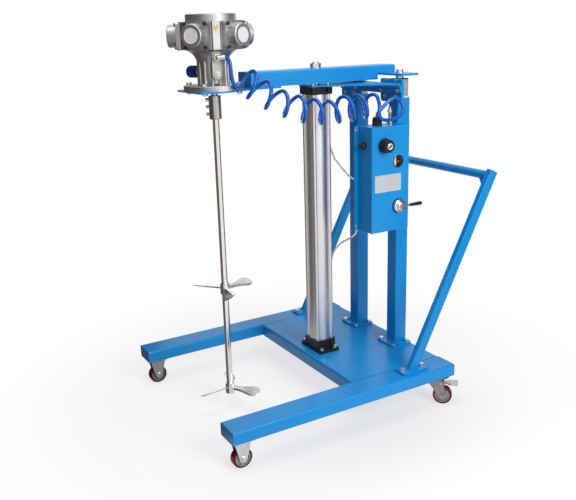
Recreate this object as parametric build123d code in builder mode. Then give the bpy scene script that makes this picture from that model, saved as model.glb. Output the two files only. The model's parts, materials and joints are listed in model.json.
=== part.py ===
from build123d import *
import os
from math import cos, pi, radians, sin, tan

os.makedirs("parts", exist_ok=True)

# Fits and clearances, on the radius or on each side
running_clearance = 0.05
slide_clearance = 0.3
bolt_clearance = 0.5

# Wheeled base
base_length = 983
base_width = 900
rail_width = 100
rail_height = 50
rail_wall = 4
rail_corner = 7
end_plate = 4
caster_height = 115
deck_length = 431
deck_plate = 6
deck_bend = 9
deck_rib = 8

# Casters
wheel_radius = 37.5
wheel_width = 28
tyre_depth = 8
hub_overhang = 2.5
hub_rim = 4
axle_radius = 5
fork_plate = 3
caster_plate = 4
front_caster_inset = 50
rear_caster_inset = 62
rear_caster_shift = 5
caster_plate_length = 84
caster_trail = 32
caster_trail_angle = 45
ball_race_radius = 25
ball_race_height = 9
king_pin_radius = 6
pedal_length = 66
pedal_width = 50
pedal_plate = 3
pedal_pin_radius = 3

# Guide posts and their inner columns
post_size = 60
post_wall = 3
post_corner = 6
post_below_cap = 25
post_spacing = 270
post_from_rear = 45
foot_plate = 8
post_foot_width = 110
post_foot_depth = 98
post_foot_shift = 10
column_size = 50
column_wall = 3
column_corner = 4
column_cap = 4
column_foot_height = 35
column_gap_below = 27

# Pneumatic cylinder
cylinder_from_posts = 300
foot_flange_width = 153
foot_flange_depth = 95
foot_flange = 13
foot_bolt_x = 126
foot_bolt_y = 63
cap_size = 95
cap_corner = 7
bottom_cap_height = 34
top_cap_height = 29
barrel_radius = 44
barrel_bore = 40
barrel_length = 1008
barrel_ear = 8
barrel_ear_offset = 33.5
lift_stroke = 850
piston_length = 40
rod_radius = 12.5
stop_tube_radius = 19
gland_radius = 20

# Head of the frame
brace_plate = 6
brace_bend = 15
brace_drop = 42
brace_width = 400
guide_plate = 12
guide_plate_width = 130
guide_plate_height = 88
guide_plate_below_top = 15
guide_screw_x = 64
guide_screw_z = 60
guide_pad_width = 88

# Lifting arm
beam_width = 100
beam_height = 55
beam_wall = 5
beam_above_brace = 7
beam_front = 307
yoke_width = 400
yoke_depth = 85
yoke_plate = 8
yoke_front_gap = 42
column_bolt_radius = 8

# Air motor
motor_reach = 430
motor_plate = 6
motor_plate_width = 220
motor_plate_front = 101
motor_plate_rear = 243
motor_flange_radius = 108
motor_flange = 18
motor_bolt_circle = 95
neck_bottom_radius = 50
neck_top_radius = 53
neck_rib = 6.5
flare_reach = 58
neck_height = 110
flare_height = 12
block_radius = 98
block_height = 93
head_seat = 106
head_size = 96
head_corner = 13
head_flange = 10
head_screw_spacing = 76
head_barrel_radius = 41
rib_pad_width = 25
rib_pad_reach = 12
rib_groove = 5.5
head_reach = 46
badge_radius = 26
badge_depth = 2
first_head_angle = -52
head_count = 5
top_cover_radius = 88.5
top_cover_height = 26
port_angle = -14
port_width = 36
port_length = 95
port_above_flange = 20
port_seat = 71
port_plate = 5
muffler_angle = -145
muffler_radius = 21.5
muffler_reach = 106
muffler_seat = 66
muffler_nipple = 5
muffler_height = 45

# Mixer
shaft_radius = 12.5
shaft_end_height = 73
coupling_radius = 22.5
coupling_length = 84
coupling_drop = 14
hub_radius = 18
hub_length = 42.5
upper_hub_height = 492
propeller_radius = 130
blade_width = 48
blade_thickness = 4.5
blade_pitch = 28
upper_blade_angle = -17
lower_blade_angle = 35
blade_count = 3

# Push handle
handle_lean = 27.4
handle_length = 828
handle_depth = 40
handle_width = 25
handle_wall = 2.5
handle_from_rear = 171.5
handle_spacing = 789
handle_bar_radius = 17
handle_bar_below_end = 18
handle_foot_width = 60
handle_foot_length = 125
handle_gusset = 38

# Control box
box_plate = 3
box_height = 405
box_below_cap = 520
box_depth = 87
box_length = 178
box_wall = 2
box_flange = 18
box_front_from_posts = 191
box_corner = 5
knob_radius = 28
gauge_radius = 23
boss_radius = 25
lever_radius = 4
grip_radius = 8.5

# Air lines
tube_radius = 4
hose_radius = 7
coil_radius = 43

# Fasteners
m8_radius = 4
m8_flats = 13
m8_head = 5.3
m10_radius = 5
m10_flats = 17
m10_head = 6.4
washer_height = 2

# Places that follow from the driving dimensions
lean = radians(handle_lean)
handle_end_cap = 3
handle_overhang = (
    (handle_length + handle_end_cap) * sin(lean) + handle_depth / 2 * cos(lean) - handle_from_rear
)
front_y = -(base_length + handle_overhang) / 2
rear_y = front_y + base_length
rail_x = base_width / 2 - rail_width / 2
rail_z = caster_height + rail_height / 2
deck_z = caster_height + rail_height
deck_half = base_width / 2 - rail_width
deck_front_y = rear_y - deck_length
post_x = post_spacing / 2
post_y = rear_y - post_from_rear
post_foot_y = post_y - post_foot_shift
post_bottom = deck_z + foot_plate
cylinder_y = post_y - cylinder_from_posts
cap_z = deck_z + foot_flange
barrel_z = cap_z + bottom_cap_height
top_cap_z = barrel_z + barrel_length
brace_z = top_cap_z + top_cap_height
post_top = top_cap_z - post_below_cap
post_height = post_top - post_bottom
box_bottom = top_cap_z - box_below_cap
beam_z = brace_z + brace_plate + beam_above_brace
motor_y = cylinder_y - motor_reach
flange_z = beam_z
neck_z = flange_z + motor_flange
block_z = neck_z + neck_height + flare_height
head_z = block_z + block_height / 2
cover_z = block_z + block_height
head_angles = [first_head_angle + 360 / head_count * index for index in range(head_count)]


def hex_bolt(radius, flats, head, length, washer=washer_height):
    """A hexagon bolt, head up, with the underside of its washer at zero."""
    with BuildPart() as bolt:
        with BuildSketch():
            Circle(flats * 0.6)
        extrude(amount=washer)
        with BuildSketch(Plane.XY.offset(washer)):
            RegularPolygon(flats / 2, 6, major_radius=False)
        extrude(amount=head)
        with BuildSketch():
            Circle(radius)
        extrude(amount=-length)
    return bolt.part


def bolt_and_nut(radius, flats, head, grip, nut):
    """A hexagon bolt through a grip of plate, with its nut below."""
    with BuildPart() as bolt:
        with BuildSketch():
            Circle(flats * 0.6)
        extrude(amount=washer_height)
        with BuildSketch(Plane.XY.offset(washer_height)):
            RegularPolygon(flats / 2, 6, major_radius=False)
        extrude(amount=head)
        with BuildSketch():
            Circle(radius)
        extrude(amount=-(grip + nut + radius / 2))
        with BuildSketch(Plane.XY.offset(-grip)):
            RegularPolygon(flats / 2, 6, major_radius=False)
        extrude(amount=-nut)
    return bolt.part


def socket_screw(radius, length):
    """A socket head cap screw, head up, with the underside of its head at zero."""
    with BuildPart() as screw:
        with BuildSketch():
            Circle(radius * 1.6)
        extrude(amount=radius * 1.8)
        with BuildSketch(Plane.XY.offset(radius * 1.8)):
            RegularPolygon(radius * 0.75, 6, major_radius=False)
        extrude(amount=-radius, mode=Mode.SUBTRACT)
        with BuildSketch():
            Circle(radius)
        extrude(amount=-length)
    return screw.part


def radial_plane(angle, reach, height):
    """A plane that faces outwards from the motor's axis."""
    out = radians(angle)
    return Plane(
        origin=(reach * cos(out), motor_y + reach * sin(out), height),
        x_dir=(-sin(out), cos(out), 0),
        z_dir=(cos(out), sin(out), 0),
    )


# Side rails: box section with plates welded over both ends
handle_x = handle_spacing / 2
handle_foot_y = rear_y - handle_from_rear
handle_bolt_y = handle_foot_length / 2 - 15
caster_bolt = caster_plate_length / 2 - 12
front_caster_y = front_y + front_caster_inset
rear_caster_x = rail_x + rear_caster_shift
rear_caster_y = rear_y - rear_caster_inset
handle_bolt_places = [
    (side * handle_x, handle_foot_y + step * handle_bolt_y) for side in (1, -1) for step in (1, -1)
]
with BuildPart() as side_rails:
    with BuildSketch(Plane.XZ.offset(-(front_y + end_plate))):
        with Locations((rail_x, rail_z), (-rail_x, rail_z)):
            RectangleRounded(rail_width, rail_height, rail_corner)
        with Locations((rail_x, rail_z), (-rail_x, rail_z)):
            RectangleRounded(
                rail_width - 2 * rail_wall, rail_height - 2 * rail_wall, rail_corner - rail_wall,
                mode=Mode.SUBTRACT,
            )
    extrude(amount=-(base_length - 2 * end_plate))
    for plate_y in (front_y + end_plate, rear_y):
        with BuildSketch(Plane.XZ.offset(-plate_y)):
            with Locations((rail_x, rail_z), (-rail_x, rail_z)):
                RectangleRounded(rail_width, rail_height, rail_corner)
        extrude(amount=end_plate)
    with BuildSketch(Plane.XY.offset(deck_z)):
        with Locations(*handle_bolt_places):
            Circle(m10_radius + bolt_clearance)
    extrude(amount=-rail_wall, mode=Mode.SUBTRACT)
side_rails.part.label = "side_rails"
export_step(side_rails.part, "parts/side_rails.step")

# Deck tray between the rails: a plate folded down at the front and rear, with ribs under the load
post_bolt_x = post_foot_width / 2 - 13
post_bolt_y = post_foot_depth / 2 - 13
post_bolt_places = [
    (side * post_x + x, post_foot_y + y)
    for side in (1, -1) for x in (post_bolt_x, -post_bolt_x) for y in (post_bolt_y, -post_bolt_y)
]
cylinder_bolt_places = [
    (x * foot_bolt_x / 2, cylinder_y + y * foot_bolt_y / 2) for x in (1, -1) for y in (1, -1)
]
deck_mid_y = (deck_front_y + rear_y) / 2
rib_height = rail_height - deck_plate
with BuildPart() as deck_tray:
    with BuildSketch(Plane.YZ.offset(-deck_half)):
        with Locations((deck_mid_y, rail_z)):
            Rectangle(deck_length, rail_height)
    extrude(amount=2 * deck_half)
    fillet(deck_tray.edges().filter_by(Axis.X).group_by(Axis.Z)[-1], deck_bend)
    with BuildSketch(Plane.YZ.offset(-deck_half)):
        with Locations((deck_mid_y, rail_z - deck_plate / 2)):
            Rectangle(deck_length - 2 * deck_plate, rail_height - deck_plate)
    extrude(amount=2 * deck_half, mode=Mode.SUBTRACT)
    with BuildSketch(Plane.XY.offset(deck_z - deck_plate)):
        with Locations((-post_x, deck_mid_y), (post_x, deck_mid_y), (0, deck_mid_y)):
            Rectangle(deck_rib, deck_length - 2 * deck_plate)
    extrude(amount=-rib_height / 2)
    with BuildSketch(Plane.XY.offset(deck_z)):
        with Locations(*(post_bolt_places + cylinder_bolt_places)):
            Circle(m10_radius + bolt_clearance)
    extrude(amount=-deck_plate, mode=Mode.SUBTRACT)
deck_tray.part.label = "deck_tray"
export_step(deck_tray.part, "parts/deck_tray.step")

# Rigid front casters: pressed forks under the rails, and their axle bolts as pieces of their own
fork_gap = wheel_width / 2 + hub_overhang + slide_clearance
fork_outer = fork_gap + fork_plate
fork_top_z = caster_height - caster_plate
with BuildPart() as front_caster_forks:
    with BuildSketch(Plane.XY.offset(fork_top_z)):
        with Locations((rail_x, front_caster_y), (-rail_x, front_caster_y)):
            RectangleRounded(caster_plate_length, caster_plate_length, 8)
    extrude(amount=caster_plate)
    for side in (1, -1):
        for inner in (fork_gap, -fork_outer):
            with BuildSketch(Plane.YZ.offset(side * rail_x + inner)) as fork_leg:
                with Locations((front_caster_y, fork_top_z - 5)):
                    Rectangle(caster_plate_length - 20, 10)
                with Locations((front_caster_y, wheel_radius)):
                    Circle(axle_radius + 9)
                make_hull()
                with Locations((front_caster_y, wheel_radius)):
                    Circle(axle_radius + running_clearance, mode=Mode.SUBTRACT)
            extrude(amount=fork_plate)
    for side in (1, -1):
        for reach in (fork_outer, -fork_outer - m8_head):
            with BuildSketch(Plane.YZ.offset(side * rail_x + reach)):
                with Locations((front_caster_y, wheel_radius)):
                    RegularPolygon(m10_flats / 2, 6, major_radius=False)
            extrude(amount=m8_head)
        with BuildSketch(Plane.YZ.offset(side * rail_x - fork_outer)):
            with Locations((front_caster_y, wheel_radius)):
                Circle(axle_radius)
        extrude(amount=2 * fork_outer)
front_caster_forks.part.label = "front_caster_forks"
export_step(front_caster_forks.part, "parts/front_caster_forks.step")

# Wheel made once: a soft tread moulded round a hub with a raised boss
tyre_inner = wheel_radius - tyre_depth
with BuildPart() as wheel_tyre:
    with BuildSketch(Plane.XZ):
        with Locations((0, wheel_radius - tyre_depth / 2)):
            Rectangle(wheel_width, tyre_depth)
    revolve(axis=Axis.X)
    fillet(wheel_tyre.edges().filter_by(GeomType.CIRCLE).group_by(SortBy.RADIUS)[-1], 4)
with BuildPart() as wheel_hub:
    with BuildSketch(Plane.XZ):
        with Locations((0, tyre_inner / 2)):
            Rectangle(wheel_width - 14, tyre_inner)
        with Locations((0, tyre_inner - hub_rim / 2)):
            Rectangle(wheel_width - 4, hub_rim)
        with Locations((0, (axle_radius + 6) / 2)):
            Rectangle(wheel_width + 2 * hub_overhang, axle_radius + 6)
    revolve(axis=Axis.X)
    with BuildSketch(Plane.YZ.offset(-wheel_width)):
        Circle(axle_radius + running_clearance)
    extrude(amount=2 * wheel_width, mode=Mode.SUBTRACT)

for side, name in ((1, "front_wheel_left"), (-1, "front_wheel_right")):
    with BuildPart() as front_wheel:
        with Locations((side * rail_x, front_caster_y, wheel_radius)):
            add(wheel_tyre.part)
            add(wheel_hub.part)
    front_wheel.part.label = name
    export_step(front_wheel.part, f"parts/{name}.step")

# Rear swivel plates: bolted under the rails, each with its ball race and king pin
crown_top_z = fork_top_z - ball_race_height - slide_clearance
crown_plate = 4
king_nut_height = 6
caster_bolt_places = [
    (side * rear_caster_x + x, rear_caster_y + y)
    for side in (1, -1) for x in (caster_bolt, -caster_bolt) for y in (caster_bolt, -caster_bolt)
]
with BuildPart() as rear_swivel_plates:
    with BuildSketch(Plane.XY.offset(fork_top_z)):
        with Locations((rear_caster_x, rear_caster_y), (-rear_caster_x, rear_caster_y)):
            RectangleRounded(caster_plate_length, caster_plate_length, 8)
    extrude(amount=caster_plate)
    with BuildSketch(Plane.XY.offset(fork_top_z)):
        with Locations((rear_caster_x, rear_caster_y), (-rear_caster_x, rear_caster_y)):
            Circle(ball_race_radius)
    extrude(amount=-ball_race_height, taper=8)
    with BuildSketch(Plane.XY.offset(fork_top_z)):
        with Locations((rear_caster_x, rear_caster_y), (-rear_caster_x, rear_caster_y)):
            Circle(king_pin_radius)
    extrude(amount=-(ball_race_height + 2 * slide_clearance + crown_plate + king_nut_height))
    with BuildSketch(Plane.XY.offset(crown_top_z - crown_plate - slide_clearance)):
        with Locations((rear_caster_x, rear_caster_y), (-rear_caster_x, rear_caster_y)):
            RegularPolygon(10, 6, major_radius=False)
    extrude(amount=-king_nut_height)
    with BuildSketch(Plane.XY.offset(fork_top_z)):
        with Locations(*caster_bolt_places):
            RegularPolygon(m8_flats / 2, 6, major_radius=False)
    extrude(amount=-m8_head)
rear_swivel_plates.part.label = "rear_swivel_plates"
export_step(rear_swivel_plates.part, "parts/rear_swivel_plates.step")

# Rear forks, wheels and brake pedals, each made across its trail direction
pedal_pin_reach = caster_trail - 6
pedal_pin_z = crown_top_z - 12
pedal_start = pedal_pin_reach - 6
pedal_wide_from = caster_trail + 14
pedal_end = pedal_start + pedal_length + 6
pedal_inner = fork_gap - slide_clearance
for side, hand in ((1, "left"), (-1, "right")):
    trail = radians(90 - side * (90 - caster_trail_angle))
    swivel = (side * rear_caster_x, rear_caster_y)
    along = (cos(trail), sin(trail), 0)
    across = (-sin(trail), cos(trail), 0)
    fork_frame = Plane(origin=(swivel[0], swivel[1], 0), x_dir=along, z_dir=(0, 0, 1))
    wheel_frame = Plane(
        origin=(swivel[0] + caster_trail * along[0], swivel[1] + caster_trail * along[1], wheel_radius),
        x_dir=across,
        z_dir=(0, 0, 1),
    )
    side_frame = Plane(origin=(swivel[0], swivel[1], 0), x_dir=along, z_dir=(-across[0], -across[1], 0))

    with BuildPart() as rear_fork:
        with BuildSketch(fork_frame.offset(crown_top_z)):
            with Locations((5, 0)):
                RectangleRounded(64, 2 * fork_outer, 8)
            Circle(king_pin_radius + running_clearance, mode=Mode.SUBTRACT)
        extrude(amount=-crown_plate)
        for inner in (fork_gap, -fork_outer):
            with BuildSketch(side_frame.offset(inner)):
                with Locations((5, crown_top_z - 4)):
                    Rectangle(58, 8)
                with Locations((caster_trail, wheel_radius)):
                    Circle(axle_radius + 8)
                make_hull()
                with Locations((pedal_pin_reach, pedal_pin_z)):
                    Circle(pedal_pin_radius + running_clearance, mode=Mode.SUBTRACT)
            extrude(amount=fork_plate)
        with BuildSketch(side_frame.offset(-fork_outer)):
            with Locations((caster_trail, wheel_radius)):
                Circle(axle_radius)
        extrude(amount=2 * fork_outer)
        for start in (fork_outer, -fork_outer - m8_head):
            with BuildSketch(side_frame.offset(start)):
                with Locations((caster_trail, wheel_radius)):
                    RegularPolygon(m10_flats / 2, 6, major_radius=False)
            extrude(amount=m8_head)
    rear_fork.part.label = f"rear_fork_{hand}"
    export_step(rear_fork.part, f"parts/rear_fork_{hand}.step")

    with BuildPart() as rear_wheel:
        with Locations(wheel_frame):
            add(wheel_tyre.part)
            add(wheel_hub.part)
    rear_wheel.part.label = f"rear_wheel_{hand}"
    export_step(rear_wheel.part, f"parts/rear_wheel_{hand}.step")

    with BuildPart() as brake_pedal:
        with BuildSketch(fork_frame.offset(pedal_pin_z + pedal_plate / 2)):
            with Locations(((pedal_start + pedal_wide_from) / 2 + 4, 0)):
                Rectangle(pedal_wide_from - pedal_start + 8, 2 * pedal_inner)
            with Locations(((pedal_wide_from + pedal_end) / 2 + 4, 0)):
                RectangleRounded(pedal_end - pedal_wide_from - 8, pedal_width, 7)
        extrude(amount=-pedal_plate)
        with BuildSketch(fork_frame.offset(pedal_pin_z)):
            with Locations((caster_trail + 8, 0)):
                Rectangle(10, wheel_width - 4)
        extrude(amount=-8)
        with BuildSketch(side_frame.offset(-fork_outer - 1)):
            with Locations((pedal_pin_reach, pedal_pin_z)):
                Circle(pedal_pin_radius)
        extrude(amount=2 * fork_outer + 2)
    brake_pedal.part.label = f"brake_pedal_{hand}"
    export_step(brake_pedal.part, f"parts/brake_pedal_{hand}.step")

# Guide posts: square tube welded on foot plates
with BuildPart() as guide_posts:
    with BuildSketch(Plane.XY.offset(deck_z)):
        with Locations((post_x, post_foot_y), (-post_x, post_foot_y)):
            RectangleRounded(post_foot_width, post_foot_depth, 8)
        with Locations(*post_bolt_places):
            Circle(m10_radius + bolt_clearance, mode=Mode.SUBTRACT)
    extrude(amount=foot_plate)
    with BuildSketch(Plane.XY.offset(post_bottom)):
        with Locations((post_x, post_y), (-post_x, post_y)):
            RectangleRounded(post_size, post_size, post_corner)
        with Locations((post_x, post_y), (-post_x, post_y)):
            RectangleRounded(
                post_size - 2 * post_wall, post_size - 2 * post_wall, post_corner - post_wall,
                mode=Mode.SUBTRACT,
            )
    extrude(amount=post_height)
guide_posts.part.label = "guide_posts"
export_step(guide_posts.part, "parts/guide_posts.step")

# Bolts of the posts and the cylinder through the deck, and of the handle feet into the rails
post_bolt = bolt_and_nut(m10_radius, m10_flats, m10_head, foot_plate + deck_plate, 8)
cylinder_bolt = bolt_and_nut(m10_radius, m10_flats, m10_head, foot_flange + deck_plate, 8)
handle_bolt = hex_bolt(m10_radius, m10_flats, m10_head, foot_plate + rail_wall)
with BuildPart() as base_bolts:
    with Locations(*[(x, y, post_bottom) for x, y in post_bolt_places]):
        add(post_bolt)
    with Locations(*[(x, y, cap_z) for x, y in cylinder_bolt_places]):
        add(cylinder_bolt)
    with Locations(*[(x, y, post_bottom) for x, y in handle_bolt_places]):
        add(handle_bolt)
base_bolts.part.label = "base_bolts"
export_step(base_bolts.part, "parts/base_bolts.step")

# Cylinder foot flange
with BuildPart() as cylinder_foot:
    with BuildSketch(Plane.XY.offset(deck_z)):
        with Locations((0, cylinder_y)):
            RectangleRounded(foot_flange_width, foot_flange_depth, 6)
        with Locations(*cylinder_bolt_places):
            Circle(m10_radius + bolt_clearance, mode=Mode.SUBTRACT)
    extrude(amount=foot_flange)
    chamfer(cylinder_foot.faces().sort_by(Axis.Z)[-1].outer_wire().edges(), 1)
cylinder_foot.part.label = "cylinder_foot"
export_step(cylinder_foot.part, "parts/cylinder_foot.step")

# Cylinder caps: black square blocks that close the barrel at both ends
ear_places = [
    (x * barrel_ear_offset, cylinder_y + y * barrel_ear_offset) for x in (1, -1) for y in (1, -1)
]
spigot = 8
with BuildPart() as cylinder_caps:
    with BuildSketch(Plane.XY.offset(cap_z)):
        with Locations((0, cylinder_y)):
            RectangleRounded(cap_size, cap_size, cap_corner)
    extrude(amount=bottom_cap_height)
    with BuildSketch(Plane.XY.offset(barrel_z)):
        with Locations((0, cylinder_y)):
            Circle(barrel_bore - running_clearance)
    extrude(amount=spigot)
    with BuildSketch(Plane.XY.offset(top_cap_z)):
        with Locations((0, cylinder_y)):
            RectangleRounded(cap_size, cap_size, cap_corner)
        with Locations(*ear_places):
            Circle(m8_radius + bolt_clearance, mode=Mode.SUBTRACT)
    extrude(amount=top_cap_height)
    with BuildSketch(Plane.XY.offset(top_cap_z)):
        with Locations((0, cylinder_y)):
            Circle(barrel_bore - running_clearance)
    extrude(amount=-spigot)
    with BuildSketch(Plane.XY.offset(brace_z)):
        with Locations((0, cylinder_y)):
            Circle(gland_radius)
    extrude(amount=-(top_cap_height + spigot), mode=Mode.SUBTRACT)
    with BuildSketch(Plane.YZ.offset(cap_size / 2)):
        with Locations((cylinder_y + 18, cap_z + bottom_cap_height * 0.6)):
            Circle(6.5)
        with Locations((cylinder_y + 18, top_cap_z + top_cap_height / 2)):
            Circle(6.5)
    extrude(amount=-10, mode=Mode.SUBTRACT)
cylinder_caps.part.label = "cylinder_caps"
export_step(cylinder_caps.part, "parts/cylinder_caps.step")

# Cylinder barrel: drawn aluminium profile with a ribbed corner for each tie
with BuildPart() as cylinder_barrel:
    with BuildSketch(Plane.XY.offset(barrel_z)):
        with Locations((0, cylinder_y)):
            Circle(barrel_radius)
        with Locations(*ear_places):
            Circle(barrel_ear)
        with Locations((0, cylinder_y)):
            Circle(barrel_bore, mode=Mode.SUBTRACT)
    extrude(amount=barrel_length)
    with BuildSketch(Plane.XY.offset(top_cap_z)):
        with Locations(*ear_places):
            Circle(m8_radius + bolt_clearance)
    extrude(amount=-25, mode=Mode.SUBTRACT)
cylinder_barrel.part.label = "cylinder_barrel"
export_step(cylinder_barrel.part, "parts/cylinder_barrel.step")

# Rod gland: bronze bush in the top cap, with a wiper collar inside the brace plate
with BuildPart() as rod_gland:
    with BuildSketch(Plane.XY.offset(top_cap_z - spigot)):
        with Locations((0, cylinder_y)):
            Circle(gland_radius)
            Circle(rod_radius + running_clearance, mode=Mode.SUBTRACT)
    extrude(amount=top_cap_height + spigot + brace_plate - 1)
rod_gland.part.label = "rod_gland"
export_step(rod_gland.part, "parts/rod_gland.step")

# Head brace: plate bolted on the cylinder and folded down in front of the posts
brace_front_y = cylinder_y - cap_size / 2
guide_front_y = post_y - post_size / 2 - guide_plate
brace_bolt_places = [(side * x, brace_z - 24) for side in (1, -1) for x in (post_x - 50, post_x + 50)]
with BuildPart() as head_brace:
    with BuildSketch(Plane.YZ.offset(-brace_width / 2)):
        with BuildLine():
            FilletPolyline(
                (brace_front_y, brace_z + brace_plate / 2),
                (guide_front_y - brace_plate / 2, brace_z + brace_plate / 2),
                (guide_front_y - brace_plate / 2, brace_z + brace_plate - brace_drop),
                radius=brace_bend + brace_plate / 2,
            )
        trace(line_width=brace_plate)
    extrude(amount=brace_width)
    fillet(
        head_brace.edges().filter_by(Axis.Y).group_by(Axis.Z)[0], brace_bend)
    with BuildSketch(Plane.XY.offset(brace_z - brace_drop)):
        with BuildLine():
            Polyline(
                (-cap_size / 2, brace_front_y),
                (cap_size / 2, brace_front_y),
                (cap_size / 2, brace_front_y + 20),
                (brace_width / 2, guide_front_y - 30),
                (brace_width / 2, guide_front_y),
                (-brace_width / 2, guide_front_y),
                (-brace_width / 2, guide_front_y - 30),
                (-cap_size / 2, brace_front_y + 20),
                close=True,
            )
        make_face()
    extrude(amount=brace_drop + brace_plate, mode=Mode.INTERSECT)
    with BuildSketch(Plane.XY.offset(brace_z)):
        with Locations((0, cylinder_y)):
            Circle(gland_radius + bolt_clearance)
        with Locations(*ear_places):
            Circle(m8_radius + bolt_clearance)
    extrude(amount=brace_plate, mode=Mode.SUBTRACT)
    with BuildSketch(Plane.XZ.offset(-guide_front_y)):
        with Locations(*brace_bolt_places):
            Circle(m8_radius + bolt_clearance)
    extrude(amount=brace_plate, mode=Mode.SUBTRACT)
head_brace.part.label = "head_brace"
export_step(head_brace.part, "parts/head_brace.step")

# Guide plates: thick plates on the post tops that carry the pads of the inner columns
guide_top_z = post_top - guide_plate_below_top + guide_plate_height
guide_screw_mid_z = guide_top_z - guide_screw_z / 2 - 5
guide_screw_places = [
    (side * post_x + x * guide_screw_x / 2, guide_screw_mid_z + z * guide_screw_z / 2)
    for side in (1, -1) for x in (1, -1) for z in (1, -1)
]
with BuildPart() as guide_plates:
    with BuildSketch(Plane.XZ.offset(-guide_front_y)):
        with Locations(
            (post_x, guide_top_z - guide_plate_height / 2), (-post_x, guide_top_z - guide_plate_height / 2)
        ):
            Rectangle(guide_plate_width, guide_plate_height)
    extrude(amount=-guide_plate)
    fillet(guide_plates.edges().filter_by(Axis.Y).group_by(Axis.Z)[0], 14)
    fillet(guide_plates.edges().filter_by(Axis.Y).group_by(Axis.Z)[-1], 3)
    with BuildSketch(Plane.XZ.offset(-guide_front_y)):
        with Locations(*(guide_screw_places + brace_bolt_places)):
            Circle(m8_radius + bolt_clearance)
    extrude(amount=-guide_plate, mode=Mode.SUBTRACT)
guide_plates.part.label = "guide_plates"
export_step(guide_plates.part, "parts/guide_plates.step")

# Nylon guides: a bush in each post top and a pad between guide plate and column
bush_hole = column_size + 2 * slide_clearance
bush_collar = 5
bush_depth = 60
pad_bottom_z = post_top + bush_collar + 4
pad_depth = post_size / 2 - column_size / 2 - slide_clearance
with BuildPart() as guide_pads:
    with BuildSketch(Plane.XY.offset(post_top)):
        with Locations((post_x, post_y), (-post_x, post_y)):
            RectangleRounded(post_size, post_size, post_corner)
            RectangleRounded(bush_hole, bush_hole, column_corner, mode=Mode.SUBTRACT)
    extrude(amount=bush_collar)
    with BuildSketch(Plane.XY.offset(post_top)):
        with Locations((post_x, post_y), (-post_x, post_y)):
            RectangleRounded(post_size - 2 * post_wall, post_size - 2 * post_wall, post_corner - post_wall)
            RectangleRounded(bush_hole, bush_hole, column_corner, mode=Mode.SUBTRACT)
    extrude(amount=-bush_depth)
    with BuildSketch(Plane.XZ.offset(-(guide_front_y + guide_plate))):
        with Locations(
            (post_x, (pad_bottom_z + guide_top_z) / 2 - 1), (-post_x, (pad_bottom_z + guide_top_z) / 2 - 1)
        ):
            Rectangle(guide_pad_width, guide_top_z - pad_bottom_z - 2)
        with Locations(*guide_screw_places):
            Circle(m8_radius + bolt_clearance, mode=Mode.SUBTRACT)
    extrude(amount=-pad_depth)
guide_pads.part.label = "guide_pads"
export_step(guide_pads.part, "parts/guide_pads.step")

# Lift body: inner columns, the yoke that joins their tops, and the arm beam on it
column_bottom = post_bottom + column_gap_below
column_top = guide_top_z - column_cap
yoke_z = guide_top_z + 12
foot_plug = 25
column_inner = column_size - 2 * column_wall
with BuildPart() as inner_columns:
    with BuildSketch(Plane.XY.offset(column_bottom + column_foot_height)):
        with Locations((post_x, post_y), (-post_x, post_y)):
            RectangleRounded(column_size, column_size, column_corner)
            RectangleRounded(column_inner, column_inner, column_corner - 2, mode=Mode.SUBTRACT)
    extrude(amount=column_top - column_bottom - column_foot_height)
inner_columns.part.label = "inner_columns"
export_step(inner_columns.part, "parts/inner_columns.step")

# Column ends: nylon slide feet below and dark plugs with a cap plate on top
foot_size = post_size - 2 * post_wall - 2 * slide_clearance
with BuildPart() as column_ends:
    with BuildSketch(Plane.XY.offset(column_bottom)):
        with Locations((post_x, post_y), (-post_x, post_y)):
            RectangleRounded(foot_size, foot_size, post_corner - post_wall)
    extrude(amount=column_foot_height)
    with BuildSketch(Plane.XY.offset(column_bottom + column_foot_height)):
        with Locations((post_x, post_y), (-post_x, post_y)):
            RectangleRounded(column_inner, column_inner, column_corner - 2)
    extrude(amount=foot_plug)
    with BuildSketch(Plane.XY.offset(column_top)):
        with Locations((post_x, post_y), (-post_x, post_y)):
            RectangleRounded(column_size, column_size, column_corner)
    extrude(amount=column_cap)
    with BuildSketch(Plane.XY.offset(column_top)):
        with Locations((post_x, post_y), (-post_x, post_y)):
            RectangleRounded(column_inner, column_inner, column_corner - 2)
    extrude(amount=-foot_plug)
    with BuildSketch(Plane.XY.offset(column_top - foot_plug)):
        with Locations((post_x, post_y), (-post_x, post_y)):
            Circle(column_bolt_radius + bolt_clearance)
    extrude(amount=foot_plug + column_cap, mode=Mode.SUBTRACT)
column_ends.part.label = "column_ends"
export_step(column_ends.part, "parts/column_ends.step")

# Yoke: flat plate across both columns
yoke_rear_y = rear_y - 1
yoke_y = yoke_rear_y - yoke_depth / 2
with BuildPart() as rear_yoke:
    with BuildSketch(Plane.XY.offset(yoke_z)):
        with Locations((0, yoke_y)):
            RectangleRounded(yoke_width, yoke_depth, 8)
        with Locations((post_x, post_y), (-post_x, post_y)):
            Circle(column_bolt_radius + bolt_clearance, mode=Mode.SUBTRACT)
    extrude(amount=yoke_plate)
rear_yoke.part.label = "rear_yoke"
export_step(rear_yoke.part, "parts/rear_yoke.step")

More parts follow.
